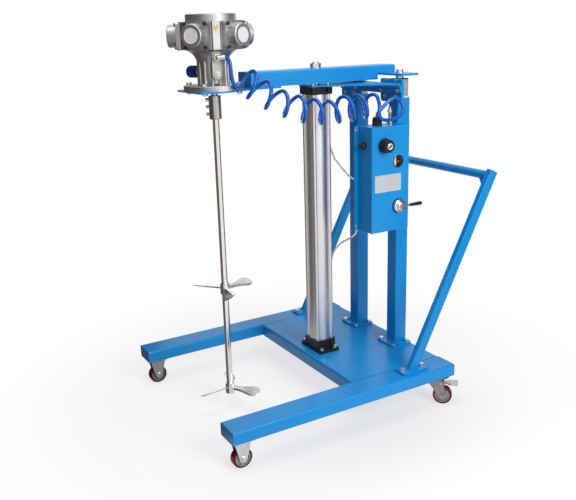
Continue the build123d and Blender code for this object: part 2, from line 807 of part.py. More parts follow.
# Arm beam: folded channel, open below, notched at the rear to sit on the yoke
beam_front_y = cylinder_y - beam_front
beam_length = yoke_rear_y - beam_front_y
beam_top_z = beam_z + beam_height
notch_y = yoke_rear_y - yoke_depth
with BuildPart() as arm_beam:
    with BuildSketch(Plane.XZ.offset(-beam_front_y)):
        with Locations((0, beam_z + beam_height / 2)):
            Rectangle(beam_width, beam_height)
    extrude(amount=-beam_length)
    fillet(arm_beam.edges().filter_by(Axis.Y).group_by(Axis.Z)[-1], 7)
    with BuildSketch(Plane.XZ.offset(-(beam_front_y + beam_wall))):
        with Locations((0, beam_z + (beam_height - beam_wall) / 2)):
            Rectangle(beam_width - 2 * beam_wall, beam_height - beam_wall)
    extrude(amount=-beam_length, mode=Mode.SUBTRACT)
    with BuildSketch(Plane.XY.offset(beam_z)):
        with Locations((0, notch_y + yoke_depth / 2)):
            Rectangle(beam_width, yoke_depth)
    extrude(amount=yoke_z + yoke_plate - beam_z, mode=Mode.SUBTRACT)
    with BuildSketch(Plane.XY.offset(beam_top_z - beam_wall)):
        with Locations((0, cylinder_y)):
            Circle(rod_radius + bolt_clearance)
    extrude(amount=beam_wall, mode=Mode.SUBTRACT)
arm_beam.part.label = "arm_beam"
export_step(arm_beam.part, "parts/arm_beam.step")

# Piston rod: its shoulder nuts clamp the beam's top plate
piston_z = barrel_z + spigot + 2
rod_end_z = beam_top_z + 24
with BuildPart() as piston_rod:
    with BuildSketch(Plane.XY.offset(piston_z)):
        with Locations((0, cylinder_y)):
            Circle(rod_radius)
    extrude(amount=rod_end_z - piston_z)
    chamfer(piston_rod.edges().group_by(Axis.Z)[-1], 2)
piston_rod.part.label = "piston_rod"
export_step(piston_rod.part, "parts/piston_rod.step")

# Piston with its two seal grooves, and the stop tube that sets the stroke
stop_tube_length = (top_cap_z - spigot) - (piston_z + piston_length) - lift_stroke - slide_clearance
with BuildPart() as piston:
    with BuildSketch(Plane.XY.offset(piston_z)):
        with Locations((0, cylinder_y)):
            Circle(barrel_bore - slide_clearance)
            Circle(rod_radius + running_clearance, mode=Mode.SUBTRACT)
    extrude(amount=piston_length)
    for groove in (0.25, 0.75):
        with BuildSketch(Plane.XY.offset(piston_z + piston_length * groove - 2)):
            with Locations((0, cylinder_y)):
                Circle(barrel_bore)
                Circle(barrel_bore - 4, mode=Mode.SUBTRACT)
        extrude(amount=4, mode=Mode.SUBTRACT)
    with BuildSketch(Plane.XY.offset(piston_z + piston_length)):
        with Locations((0, cylinder_y)):
            Circle(stop_tube_radius)
            Circle(rod_radius + running_clearance, mode=Mode.SUBTRACT)
    extrude(amount=stop_tube_length)
piston.part.label = "piston"
export_step(piston.part, "parts/piston.step")

# Lift nuts: column bolts with their lock nuts, and the rod nuts above and below the beam top
column_bolt = hex_bolt(column_bolt_radius, 24, 10, yoke_z + yoke_plate - column_top + 20, washer=3)
rod_nut_height = 16
with BuildPart() as lift_nuts:
    with Locations((post_x, post_y, yoke_z + yoke_plate), (-post_x, post_y, yoke_z + yoke_plate)):
        add(column_bolt)
    with BuildSketch(Plane.XY.offset(guide_top_z)):
        with Locations((post_x, post_y), (-post_x, post_y)):
            RegularPolygon(13, 6, major_radius=False)
    extrude(amount=yoke_z - guide_top_z)
    with BuildSketch(Plane.XY.offset(beam_top_z)):
        with Locations((0, cylinder_y)):
            Circle(21)
            Circle(rod_radius + running_clearance, mode=Mode.SUBTRACT)
    extrude(amount=2)
    for nut_z in (beam_top_z + 2, beam_top_z - beam_wall - rod_nut_height):
        with BuildSketch(Plane.XY.offset(nut_z)):
            with Locations((0, cylinder_y)):
                RegularPolygon(18, 6, major_radius=False)
                Circle(rod_radius + running_clearance, mode=Mode.SUBTRACT)
        extrude(amount=rod_nut_height)
lift_nuts.part.label = "lift_nuts"
export_step(lift_nuts.part, "parts/lift_nuts.step")

# Motor plate: flat plate welded under the front of the beam
motor_bolt_places = [
    (x * motor_bolt_circle * cos(radians(45)), motor_y + y * motor_bolt_circle * sin(radians(45)))
    for x in (1, -1) for y in (1, -1)
]
spindle_hole = shaft_radius + 5
with BuildPart() as motor_plate_body:
    with BuildSketch(Plane.XY.offset(flange_z - motor_plate)) as motor_plate_outline:
        with BuildLine():
            Polyline(
                (-motor_plate_width / 2, motor_y - motor_plate_front),
                (motor_plate_width / 2, motor_y - motor_plate_front),
                (motor_plate_width / 2, motor_y - 5),
                (beam_width / 2 + 12, motor_y + 122),
                (beam_width / 2 + 8, motor_y + motor_plate_rear),
                (-beam_width / 2 - 8, motor_y + motor_plate_rear),
                (-beam_width / 2 - 12, motor_y + 122),
                (-motor_plate_width / 2, motor_y - 5),
                close=True,
            )
        make_face()
        fillet(motor_plate_outline.vertices().group_by(Axis.Y)[0], 14)
        with Locations((0, motor_y)):
            Circle(spindle_hole, mode=Mode.SUBTRACT)
        with Locations(*motor_bolt_places):
            Circle(m10_radius + bolt_clearance, mode=Mode.SUBTRACT)
    extrude(amount=motor_plate)
motor_plate_body.part.label = "motor_plate"
export_step(motor_plate_body.part, "parts/motor_plate.step")

# Motor housing: casting with round flange, ribbed neck, flare and a block with five seats
port_mid_z = neck_z + port_above_flange + port_length / 2
head_screw_spots = [
    (x * head_screw_spacing / 2, z * head_screw_spacing / 2) for x in (1, -1) for z in (1, -1)
]
with BuildPart() as motor_housing:
    with BuildSketch(Plane.XY.offset(flange_z)):
        with Locations((0, motor_y)):
            Circle(motor_flange_radius)
    extrude(amount=motor_flange)
    fillet(motor_housing.edges().group_by(Axis.Z)[-1], 2)
    with BuildSketch(Plane.YZ):
        with BuildLine():
            neck_line = Polyline(
                (motor_y + block_radius, block_z),
                (motor_y, block_z),
                (motor_y, neck_z),
                (motor_y + neck_bottom_radius + 6, neck_z),
                (motor_y + neck_bottom_radius, neck_z + 6),
                (motor_y + neck_top_radius, block_z - flare_reach),
            )
            TangentArc(neck_line @ 1, neck_line @ 0, tangent=(0, 1))
        make_face()
    revolve(axis=Axis((0, motor_y, 0), (0, 0, 1)))
    with BuildSketch(Plane.XY.offset(neck_z)):
        with Locations((0, motor_y)):
            with PolarLocations(neck_bottom_radius + 1, 12, start_angle=port_angle + 15):
                Circle(neck_rib)
    extrude(amount=neck_height - 10)
    with BuildSketch(Plane.XY.offset(block_z)):
        with Locations((0, motor_y)):
            Circle(block_radius)
        for angle in head_angles:
            out = radians(angle)
            with Locations(Location((head_seat / 2 * cos(out), motor_y + head_seat / 2 * sin(out)), angle)):
                Rectangle(head_seat, head_size)
            mid = out + radians(180 / head_count)
            with Locations(
                Location((block_radius / 2 * cos(mid), motor_y + block_radius / 2 * sin(mid)),
                         angle + 180 / head_count)
            ):
                Rectangle(block_radius + 2 * rib_pad_reach, rib_pad_width)
    extrude(amount=block_height)
    groove_y = rib_pad_width / 2 + rib_groove
    groove_reach = block_radius + rib_pad_reach - rib_groove
    with BuildSketch(Plane.XY.offset(block_z)):
        for angle in head_angles:
            mid = angle + 180 / head_count
            with Locations(Location((0, motor_y), mid)):
                with Locations((groove_reach, groove_y), (groove_reach, -groove_y)):
                    Circle(rib_groove)
    extrude(amount=block_height, mode=Mode.SUBTRACT)
    with BuildSketch(radial_plane(muffler_angle, 0, neck_z + muffler_height)):
        Circle(muffler_nipple + 7)
    extrude(amount=muffler_seat)
    with BuildSketch(radial_plane(port_angle, 0, port_mid_z)):
        SlotOverall(port_length, port_width, rotation=90)
    extrude(amount=port_seat)
    with BuildSketch(radial_plane(port_angle, port_seat, port_mid_z)):
        SlotOverall(port_length + 8, port_width + 8, rotation=90)
    extrude(amount=30, mode=Mode.SUBTRACT)
    with BuildSketch(Plane.XY.offset(flange_z)):
        with Locations(*motor_bolt_places):
            Circle(m10_radius + bolt_clearance)
    extrude(amount=motor_flange, mode=Mode.SUBTRACT)
    with BuildSketch(Plane.XY.offset(flange_z)):
        with Locations((0, motor_y)):
            Circle(shaft_radius + running_clearance)
    extrude(amount=60, mode=Mode.SUBTRACT)
    with BuildSketch(Plane.XY.offset(flange_z)):
        with Locations((0, motor_y)):
            Circle(spindle_hole + 8)
    extrude(amount=10, mode=Mode.SUBTRACT)
    for angle in head_angles:
        with BuildSketch(radial_plane(angle, head_seat, head_z)):
            with Locations(*head_screw_spots):
                Circle(m8_radius + bolt_clearance)
        extrude(amount=-14, mode=Mode.SUBTRACT)
motor_housing.part.label = "motor_housing"
export_step(motor_housing.part, "parts/motor_housing.step")

# Motor heads: one square-flanged cylinder head on each seat, with a bare round badge recess
head_tip = head_barrel_radius - (head_reach - head_flange) * tan(radians(3))
with BuildPart() as motor_heads:
    for angle in head_angles:
        with BuildSketch(radial_plane(angle, head_seat, head_z)):
            RectangleRounded(head_size, head_size, head_corner)
            with Locations(*head_screw_spots):
                Circle(m8_radius + bolt_clearance, mode=Mode.SUBTRACT)
        extrude(amount=head_flange)
        with BuildSketch(radial_plane(angle, head_seat + head_flange, head_z)):
            Circle(head_barrel_radius)
        extrude(amount=head_reach - head_flange, taper=3)
        with BuildSketch(radial_plane(angle, head_seat + head_reach, head_z)):
            Circle(badge_radius)
        extrude(amount=-badge_depth, mode=Mode.SUBTRACT)
    fillet(motor_heads.edges().filter_by(GeomType.CIRCLE).filter_by(
        lambda edge: abs(edge.radius - head_tip) < 0.2
    ), 4)
motor_heads.part.label = "motor_heads"
export_step(motor_heads.part, "parts/motor_heads.step")

# Motor screws: socket screws of the heads, and bolts through the flange and the motor plate
head_screw = socket_screw(m8_radius, head_flange + 12)
motor_bolt = bolt_and_nut(m10_radius, m10_flats, m10_head, motor_flange + motor_plate, 8)
with BuildPart() as motor_screws:
    for angle in head_angles:
        seat = radial_plane(angle, head_seat + head_flange, head_z)
        spots = [seat.from_local_coords((x, z, 0)) for x, z in head_screw_spots]
        with Locations(*[Plane(origin=spot, x_dir=seat.x_dir, z_dir=seat.z_dir) for spot in spots]):
            add(head_screw)
    with Locations(*[(x, y, neck_z) for x, y in motor_bolt_places]):
        add(motor_bolt)
motor_screws.part.label = "motor_screws"
export_step(motor_screws.part, "parts/motor_screws.step")

# Motor covers: turned top cover with a shallow recess, and the port cover with its plug
port_plane = radial_plane(port_angle, port_seat, port_mid_z)
port_offset = port_length / 2 - port_width / 2 - 2
with BuildPart() as motor_covers:
    with BuildSketch(Plane.XY.offset(cover_z)):
        with Locations((0, motor_y)):
            Circle(top_cover_radius)
    extrude(amount=top_cover_height)
    fillet(motor_covers.edges().group_by(Axis.Z)[-1], 4)
    with BuildSketch(Plane.XY.offset(cover_z + top_cover_height)):
        with Locations((0, motor_y)):
            Circle(top_cover_radius - 20)
            Circle(top_cover_radius - 58, mode=Mode.SUBTRACT)
    extrude(amount=-3, mode=Mode.SUBTRACT)
    with BuildSketch(port_plane):
        SlotOverall(port_length, port_width, rotation=90)
    extrude(amount=port_plate)
    chamfer(motor_covers.faces().sort_by(Axis.X)[-1].edges(), 1)
    with BuildSketch(port_plane.offset(port_plate)):
        with Locations((0, -port_offset)):
            Circle(11)
    extrude(amount=4)
    with BuildSketch(port_plane.offset(port_plate + 4)):
        with Locations((0, -port_offset)):
            Rectangle(10, 10)
    extrude(amount=7)
motor_covers.part.label = "motor_covers"
export_step(motor_covers.part, "parts/motor_covers.step")

# Inlet elbow: hexagon on the port cover and a black push-in socket that points along the hose
elbow_heading = 62
elbow_reach = port_seat + port_plate
elbow_corner = elbow_reach + 20
inlet_z = port_mid_z + port_offset
corner = (
    elbow_corner * cos(radians(port_angle)),
    motor_y + elbow_corner * sin(radians(port_angle)),
    inlet_z,
)
elbow_out = (cos(radians(elbow_heading)), sin(radians(elbow_heading)), 0)
elbow_plane = Plane(origin=corner, x_dir=(0, 0, 1), z_dir=elbow_out)
elbow_length = 24
inlet_hexagon = 11.5
inlet_nut = 12
inlet_radius = 8.5
inlet_collar = 6
with BuildPart() as inlet_elbow:
    with BuildSketch(radial_plane(port_angle, elbow_reach, inlet_z)):
        RegularPolygon(inlet_hexagon, 6, major_radius=False)
    extrude(amount=inlet_nut)
    with BuildSketch(radial_plane(port_angle, elbow_reach + inlet_nut, inlet_z)):
        Circle(inlet_radius)
    extrude(amount=elbow_corner - elbow_reach - inlet_nut)
    with Locations(corner):
        Sphere(inlet_radius)
    with BuildSketch(elbow_plane):
        Circle(inlet_radius)
    extrude(amount=elbow_length - inlet_collar)
    with BuildSketch(elbow_plane.offset(elbow_length - inlet_collar)):
        Circle(inlet_radius + 1)
    extrude(amount=inlet_collar)
inlet_elbow.part.label = "inlet_elbow"
export_step(inlet_elbow.part, "parts/inlet_elbow.step")

# Exhaust muffler: sintered cup with a round nose on a short nipple
muffler_nose = 14
muffler_gap = 5
with BuildPart() as exhaust_muffler:
    with BuildSketch(radial_plane(muffler_angle, muffler_seat + muffler_gap, neck_z + muffler_height)):
        Circle(muffler_radius)
    extrude(amount=muffler_reach - muffler_seat - muffler_gap)
    fillet(exhaust_muffler.edges().sort_by(Axis.X)[0], muffler_nose)
    with BuildSketch(radial_plane(muffler_angle, muffler_seat, neck_z + muffler_height)):
        Circle(muffler_nipple)
    extrude(amount=muffler_gap)
exhaust_muffler.part.label = "exhaust_muffler"
export_step(exhaust_muffler.part, "parts/exhaust_muffler.step")

# Motor spindle and mixer shaft, butted inside the coupling
coupling_top = flange_z - motor_plate - coupling_drop
coupling_bottom = coupling_top - coupling_length
coupling_mid = (coupling_top + coupling_bottom) / 2
with BuildPart() as motor_spindle:
    with BuildSketch(Plane.XY.offset(coupling_mid + 1)):
        with Locations((0, motor_y)):
            Circle(shaft_radius)
    extrude(amount=flange_z + 58 - coupling_mid)
motor_spindle.part.label = "motor_spindle"
export_step(motor_spindle.part, "parts/motor_spindle.step")

with BuildPart() as mixer_shaft:
    with BuildSketch(Plane.XY.offset(shaft_end_height)):
        with Locations((0, motor_y)):
            Circle(shaft_radius)
    extrude(amount=coupling_mid - 1 - shaft_end_height)
    chamfer(mixer_shaft.edges().group_by(Axis.Z)[0], 1)
mixer_shaft.part.label = "mixer_shaft"
export_step(mixer_shaft.part, "parts/mixer_shaft.step")

# Coupling: bored sleeve held by three screws in a line
screw_angle = radians(-115)
screw_out = (cos(screw_angle), sin(screw_angle), 0)
screw_side = (-sin(screw_angle), cos(screw_angle), 0)
screw_head = 12
with BuildPart() as shaft_coupling:
    with BuildSketch(Plane.XY.offset(coupling_bottom)):
        with Locations((0, motor_y)):
            Circle(coupling_radius)
            Circle(shaft_radius + running_clearance, mode=Mode.SUBTRACT)
    extrude(amount=coupling_length)
    chamfer(shaft_coupling.faces().filter_by(Axis.Z).edges().filter_by(
        lambda edge: edge.radius > coupling_radius - 1), 1.5)
    for step in (-1, 0, 1):
        screw_plane = Plane(
            origin=(
                (coupling_radius - 1) * screw_out[0],
                motor_y + (coupling_radius - 1) * screw_out[1],
                coupling_mid + 2 + step * 26,
            ),
            x_dir=screw_side,
            z_dir=screw_out,
        )
        with BuildSketch(screw_plane):
            Circle(m8_radius + 2)
        extrude(amount=screw_head)
shaft_coupling.part.label = "shaft_coupling"
export_step(shaft_coupling.part, "parts/shaft_coupling.step")

# Propellers: hub with three twisted spoon-shaped blades
blade_sections = [
    (0.10, 16, 1.5, 1.25),
    (0.34, 24, 1.2, 1.15),
    (0.62, 40, 1.0, 1.0),
    (0.84, blade_width, 1.0, 0.9),
    (0.95, 38, 0.8, 0.85),
    (1.0, 14, 0.5, 0.8),
]
for name, hub_z, first_angle in (
    ("upper_propeller", upper_hub_height, upper_blade_angle),
    ("lower_propeller", shaft_end_height, lower_blade_angle),
):
    blade_z = hub_z + hub_length / 2
    with BuildPart() as propeller:
        with BuildSketch(Plane.XY.offset(hub_z)):
            with Locations((0, motor_y)):
                Circle(hub_radius)
        extrude(amount=hub_length)
        for index in range(blade_count):
            out = radians(first_angle + 360 / blade_count * index)
            for share, width, thick, turn in blade_sections:
                pitch = radians(blade_pitch * turn)
                reach = share * propeller_radius
                section = Plane(
                    origin=(reach * cos(out), motor_y + reach * sin(out), blade_z),
                    x_dir=(-sin(out) * cos(pitch), cos(out) * cos(pitch), sin(pitch)),
                    z_dir=(cos(out), sin(out), 0),
                )
                with BuildSketch(section):
                    Ellipse(width / 2, blade_thickness * thick / 2)
            loft()
        with BuildSketch(Plane.XY.offset(hub_z)):
            with Locations((0, motor_y)):
                Circle(shaft_radius + running_clearance)
        extrude(amount=hub_length, mode=Mode.SUBTRACT)
    propeller.part.label = name
    export_step(propeller.part, f"parts/{name}.step")

# Push handle: two leaning tubes, each welded on a foot plate and closed on top
handle_axis = (0, sin(lean), cos(lean))
with BuildPart() as handle_tubes:
    for side in (1, -1):
        tube_plane = Plane(
            origin=(side * handle_x, handle_foot_y, post_bottom), x_dir=(1, 0, 0), z_dir=handle_axis
        )
        with BuildSketch(tube_plane.offset(-handle_depth)):
            RectangleRounded(handle_width, handle_depth, 4)
            RectangleRounded(
                handle_width - 2 * handle_wall, handle_depth - 2 * handle_wall, 1.5, mode=Mode.SUBTRACT
            )
        extrude(amount=handle_length + handle_depth)
        with BuildSketch(tube_plane.offset(handle_length)):
            RectangleRounded(handle_width, handle_depth, 4)
        extrude(amount=handle_end_cap)
    with BuildSketch(Plane.XY.offset(post_bottom)):
        with Locations((handle_x, handle_foot_y), (-handle_x, handle_foot_y)):
            Rectangle(handle_foot_width + 2, 3 * handle_depth)
    extrude(amount=-2 * handle_depth, mode=Mode.SUBTRACT)
    with BuildSketch(Plane.XY.offset(deck_z)):
        with Locations((handle_x, handle_foot_y), (-handle_x, handle_foot_y)):
            RectangleRounded(handle_foot_width, handle_foot_length, 6)
        with Locations(*handle_bolt_places):
            Circle(m10_radius + bolt_clearance, mode=Mode.SUBTRACT)
    extrude(amount=foot_plate)
handle_tubes.part.label = "handle_tubes"
export_step(handle_tubes.part, "parts/handle_tubes.step")

# Crossbar of the handle: round pipe with a corner gusset at each end
bar_reach = handle_length - handle_bar_below_end
bar_y = handle_foot_y + bar_reach * sin(lean)
bar_z = post_bottom + bar_reach * cos(lean)
bar_half = handle_x - handle_width / 2
bar_plane = Plane(origin=(0, bar_y, bar_z), x_dir=(1, 0, 0), z_dir=(0, cos(lean), -sin(lean)))
with BuildPart() as handle_bar:
    with BuildSketch(Plane(origin=(-bar_half, bar_y, bar_z), x_dir=(0, 1, 0), z_dir=(1, 0, 0))):
        Circle(handle_bar_radius)
        Circle(handle_bar_radius - 2.5, mode=Mode.SUBTRACT)
    extrude(amount=2 * bar_half)
    with BuildSketch(bar_plane.offset(-2.5)):
        for side in (1, -1):
            with BuildLine():
                Polyline(
                    (side * bar_half, handle_bar_radius - 1.5),
                    (side * bar_half, handle_bar_radius + handle_gusset),
                    (side * (bar_half - handle_gusset), handle_bar_radius - 1.5),
                    close=True,
                )
            make_face()
    extrude(amount=5)
handle_bar.part.label = "handle_bar"
export_step(handle_bar.part, "parts/handle_bar.step")

# Control box: back plate on the side of the post
box_x = post_x + post_size / 2
cover_x = box_x + box_plate
cover_face_x = cover_x + box_depth
box_front_y = post_y - post_size / 2 - box_front_from_posts
box_mid_y = box_front_y + box_length / 2
box_mid_z = box_bottom + box_height / 2
box_top = box_bottom + box_height
plate_front_y = box_front_y - box_flange
box_screw_radius = 3
plate_rear_y = post_y + post_size / 2 - 4
box_screw_y = box_front_y - box_flange / 2 - 1
box_screw_places = [(box_screw_y, box_top - 17), (box_screw_y, box_bottom + 17)]
post_screw_places = [(post_y + 6, box_top - 40), (post_y + 6, box_bottom + 40)]
upper_port_z = box_bottom + 193
lower_port_z = box_bottom + 24
plate_port_y = box_front_y + 10
with BuildPart() as box_back_plate:
    with BuildSketch(Plane.YZ.offset(box_x)):
        with Locations(((plate_front_y + plate_rear_y) / 2, box_mid_z)):
            RectangleRounded(plate_rear_y - plate_front_y, box_height, 3)
        with Locations(*(box_screw_places + post_screw_places)):
            Circle(box_screw_radius + bolt_clearance / 2, mode=Mode.SUBTRACT)
        with Locations((plate_port_y, upper_port_z), (plate_port_y, lower_port_z)):
            Circle(7, mode=Mode.SUBTRACT)
    extrude(amount=box_plate)
box_back_plate.part.label = "box_back_plate"
export_step(box_back_plate.part, "parts/box_back_plate.step")

# Box cover: folded shell open towards the back plate, with a front flange and holes for the controls
regulator_place = (box_front_y + 57, box_top - 70)
gauge_place = (box_front_y + 122, box_top - 135)
valve_place = (box_front_y + 125, box_bottom + 97)
speed_place = (cover_x + 37, box_top - 71)
hose_socket_place = (cover_x + 39, box_front_y + 59)
nipple_place = (cover_x + 15, box_front_y + 138)
regulator_neck = 16
valve_neck = 15
speed_neck = 8
socket_neck = 9
nipple_neck = 7
with BuildPart() as box_cover:
    with BuildSketch(Plane.YZ.offset(cover_x)):
        with Locations((box_mid_y, box_mid_z)):
            Rectangle(box_length, box_height)
    extrude(amount=box_depth)
    fillet(box_cover.edges().filter_by(Axis.Z).group_by(Axis.X)[-1], box_corner)
    fillet(box_cover.faces().sort_by(Axis.X)[-1].edges().filter_by(Axis.Y), box_corner - 2)
    with BuildSketch(Plane.YZ.offset(cover_x)):
        with Locations((box_mid_y, box_mid_z)):
            Rectangle(box_length - 2 * box_wall, box_height - 2 * box_wall)
    extrude(amount=box_depth - box_wall, mode=Mode.SUBTRACT)
    with BuildSketch(Plane.YZ.offset(cover_x)):
        with Locations((box_front_y - box_flange / 2 + box_wall / 2, box_mid_z)):
            Rectangle(box_flange + box_wall, box_height)
        with Locations(*box_screw_places):
            Circle(box_screw_radius + bolt_clearance / 2, mode=Mode.SUBTRACT)
    extrude(amount=box_wall)
    with BuildSketch(Plane.YZ.offset(cover_face_x)):
        with Locations(regulator_place):
            Circle(regulator_neck + bolt_clearance)
        with Locations(gauge_place):
            Circle(gauge_radius + bolt_clearance)
        with Locations(valve_place):
            Circle(valve_neck + bolt_clearance)
    extrude(amount=-box_wall, mode=Mode.SUBTRACT)
    with BuildSketch(Plane.XZ.offset(-box_front_y)):
        with Locations(speed_place):
            Circle(speed_neck + bolt_clearance)
    extrude(amount=-box_wall, mode=Mode.SUBTRACT)
    with BuildSketch(Plane.XY.offset(box_top)):
        with Locations(hose_socket_place):
            Circle(socket_neck + bolt_clearance)
        with Locations(nipple_place):
            Circle(nipple_neck + bolt_clearance)
    extrude(amount=-box_wall, mode=Mode.SUBTRACT)
box_cover.part.label = "box_cover"
export_step(box_cover.part, "parts/box_cover.step")

# Screws of the head plates, the top cap, the box cover and its back plate
guide_screw = hex_bolt(m8_radius, m8_flats, m8_head, guide_plate + pad_depth - 1, washer=1)
brace_screw = hex_bolt(m8_radius, m8_flats, m8_head, brace_plate + guide_plate, washer=1)
top_screw = hex_bolt(m8_radius, m8_flats, m8_head, brace_plate + top_cap_height + 20, washer=1)
box_screw = hex_bolt(box_screw_radius, 10, 4, box_wall + box_plate, washer=1)
post_screw = hex_bolt(box_screw_radius, 10, 4, box_plate, washer=1)
with BuildPart() as frame_screws:
    with Locations(*[
        Plane(origin=(x, guide_front_y, z), x_dir=(1, 0, 0), z_dir=(0, -1, 0)) for x, z in guide_screw_places
    ]):
        add(guide_screw)
    with Locations(*[
        Plane(origin=(x, guide_front_y - brace_plate, z), x_dir=(1, 0, 0), z_dir=(0, -1, 0))
        for x, z in brace_bolt_places
    ]):
        add(brace_screw)
    with Locations(*[(x, y, brace_z + brace_plate) for x, y in ear_places]):
        add(top_screw)
    with Locations(*[
        Plane(origin=(cover_x + box_wall, y, z), x_dir=(0, 1, 0), z_dir=(1, 0, 0)) for y, z in box_screw_places
    ]):
        add(box_screw)
    with Locations(*[
        Plane(origin=(cover_x, y, z), x_dir=(0, 1, 0), z_dir=(1, 0, 0)) for y, z in post_screw_places
    ]):
        add(post_screw)
frame_screws.part.label = "frame_screws"
export_step(frame_screws.part, "parts/frame_screws.step")

# Pressure regulator: body inside the cover, ring nut outside
regulator_face = cover_face_x + 6
with BuildPart() as regulator_body:
    with BuildSketch(Plane.YZ.offset(cover_x + 14)):
        with Locations(regulator_place):
            RectangleRounded(44, 44, 4)
    extrude(amount=box_depth - box_wall - 14)
    with BuildSketch(Plane.YZ.offset(cover_x + 14)):
        with Locations(regulator_place):
            Circle(regulator_neck)
    extrude(amount=box_depth + 6 - 14)
    with BuildSketch(Plane.YZ.offset(cover_face_x)):
        with Locations(regulator_place):
            Circle(knob_radius)
    extrude(amount=6)
    fillet(regulator_body.edges().group_by(Axis.X)[-1], 1.5)
    with BuildSketch(Plane.YZ.offset(regulator_face)):
        with Locations(regulator_place):
            Circle(5)
    extrude(amount=20)
regulator_body.part.label = "regulator_body"
export_step(regulator_body.part, "parts/regulator_body.step")

# Regulator knob: fluted cap that turns on the spindle, with a bright centre
knob_gap = slide_clearance
knob_length = 27
with BuildPart() as regulator_knob:
    with BuildSketch(Plane.YZ.offset(regulator_face + knob_gap)):
        with Locations(regulator_place):
            Circle(knob_radius - 1.5)
            with PolarLocations(knob_radius - 0.5, 18):
                Circle(1.8, mode=Mode.SUBTRACT)
    extrude(amount=knob_length, taper=6)
    with BuildSketch(Plane.YZ.offset(regulator_face + knob_gap)):
        with Locations(regulator_place):
            Circle(5 + running_clearance)
    extrude(amount=21, mode=Mode.SUBTRACT)
    with BuildSketch(Plane.YZ.offset(regulator_face + knob_gap + knob_length)):
        with Locations(regulator_place):
            Circle(12)
    extrude(amount=2)
regulator_knob.part.label = "regulator_knob"
export_step(regulator_knob.part, "parts/regulator_knob.step")

# Pressure gauge: case through the cover with a rounded bezel outside
gauge_proud = 4
with BuildPart() as pressure_gauge:
    with BuildSketch(Plane.YZ.offset(cover_face_x - 22)):
        with Locations(gauge_place):
            Circle(gauge_radius - 1)
    extrude(amount=22)
    with BuildSketch(Plane.YZ.offset(cover_face_x)):
        with Locations(gauge_place):
            Circle(gauge_radius + 2)
    extrude(amount=gauge_proud)
    fillet(pressure_gauge.edges().group_by(Axis.X)[-1], gauge_proud / 2)
    with BuildSketch(Plane.YZ.offset(cover_face_x + gauge_proud)):
        with Locations(gauge_place):
            Circle(gauge_radius - 2)
    extrude(amount=-2, mode=Mode.SUBTRACT)
    with BuildSketch(Plane.YZ.offset(cover_face_x - 22)):
        with Locations(gauge_place):
            RegularPolygon(7, 6, major_radius=False)
    extrude(amount=-12)
pressure_gauge.part.label = "pressure_gauge"
export_step(pressure_gauge.part, "parts/pressure_gauge.step")

# Lift valve: body inside the cover and a chrome boss outside
boss_proud = 14
lever_hub = 13
with BuildPart() as lift_valve:
    with BuildSketch(Plane.YZ.offset(cover_x + 20)):
        with Locations(valve_place):
            RectangleRounded(52, 60, 4)
    extrude(amount=box_depth - box_wall - 20)
    with BuildSketch(Plane.YZ.offset(cover_x + 20)):
        with Locations(valve_place):
            Circle(valve_neck)
    extrude(amount=box_depth + 2 - 20)
    with BuildSketch(Plane.YZ.offset(cover_face_x)):
        with Locations(valve_place):
            Circle(boss_radius)
    extrude(amount=boss_proud)
    fillet(lift_valve.edges().group_by(Axis.X)[-1], 3)
    with BuildSketch(Plane.YZ.offset(cover_face_x + boss_proud)):
        with Locations(valve_place):
            Circle(6)
    extrude(amount=lever_hub - 3)
lift_valve.part.label = "lift_valve"
export_step(lift_valve.part, "parts/lift_valve.step")

# Valve lever: turned hub on the valve spindle with a steel rod towards the rear
lever_x = cover_face_x + boss_proud + slide_clearance
rod_start = 12
rod_length = 88
grip_start = 42
grip_length = 58
grip_end = 6
with BuildPart() as valve_lever:
    with BuildSketch(Plane.YZ.offset(lever_x)):
        with Locations(valve_place):
            Circle(17)
    extrude(amount=lever_hub)
    fillet(valve_lever.edges().group_by(Axis.X)[-1], 4)
    with BuildSketch(Plane.YZ.offset(lever_x)):
        with Locations(valve_place):
            Circle(6 + running_clearance)
    extrude(amount=lever_hub - 2, mode=Mode.SUBTRACT)
    with BuildSketch(Plane.XZ.offset(-(valve_place[0] + rod_start))):
        with Locations((lever_x + lever_hub / 2, valve_place[1])):
            Circle(lever_radius)
    extrude(amount=-rod_length + rod_start)
valve_lever.part.label = "valve_lever"
export_step(valve_lever.part, "parts/valve_lever.step")

# Grip: tapered plastic sleeve on the lever's rod
with BuildPart() as lever_grip:
    with BuildSketch(Plane.XZ.offset(-(valve_place[0] + grip_start))):
        with Locations((lever_x + lever_hub / 2, valve_place[1])):
            Circle(grip_radius - 2.5)
    extrude(amount=-grip_length, taper=-2)
    fillet(lever_grip.edges().group_by(Axis.Y)[-1], grip_end)
    with BuildSketch(Plane.XZ.offset(-(valve_place[0] + grip_start))):
        with Locations((lever_x + lever_hub / 2, valve_place[1])):
            Circle(lever_radius + running_clearance)
    extrude(amount=-(rod_length - grip_start + 1), mode=Mode.SUBTRACT)
lever_grip.part.label = "lever_grip"
export_step(lever_grip.part, "parts/lever_grip.step")

# Speed valve on the front face, and its knob
speed_collar = 3
speed_depth = 24
speed_spindle = 12
speed_knob_radius = 16
speed_knob_neck = 2
speed_knob_length = 11
with BuildPart() as speed_valve:
    with BuildSketch(Plane.XZ.offset(-(box_front_y + box_wall))):
        with Locations(speed_place):
            RectangleRounded(28, 28, 3)
    extrude(amount=-speed_depth)
    with BuildSketch(Plane.XZ.offset(-(box_front_y + box_wall))):
        with Locations(speed_place):
            Circle(speed_neck)
    extrude(amount=box_wall + speed_collar)
    with BuildSketch(Plane.XZ.offset(-box_front_y)):
        with Locations(speed_place):
            Circle(15)
    extrude(amount=speed_collar)
    with BuildSketch(Plane.XZ.offset(-box_front_y)):
        with Locations(speed_place):
            Circle(4)
    extrude(amount=speed_spindle)
speed_valve.part.label = "speed_valve"
export_step(speed_valve.part, "parts/speed_valve.step")

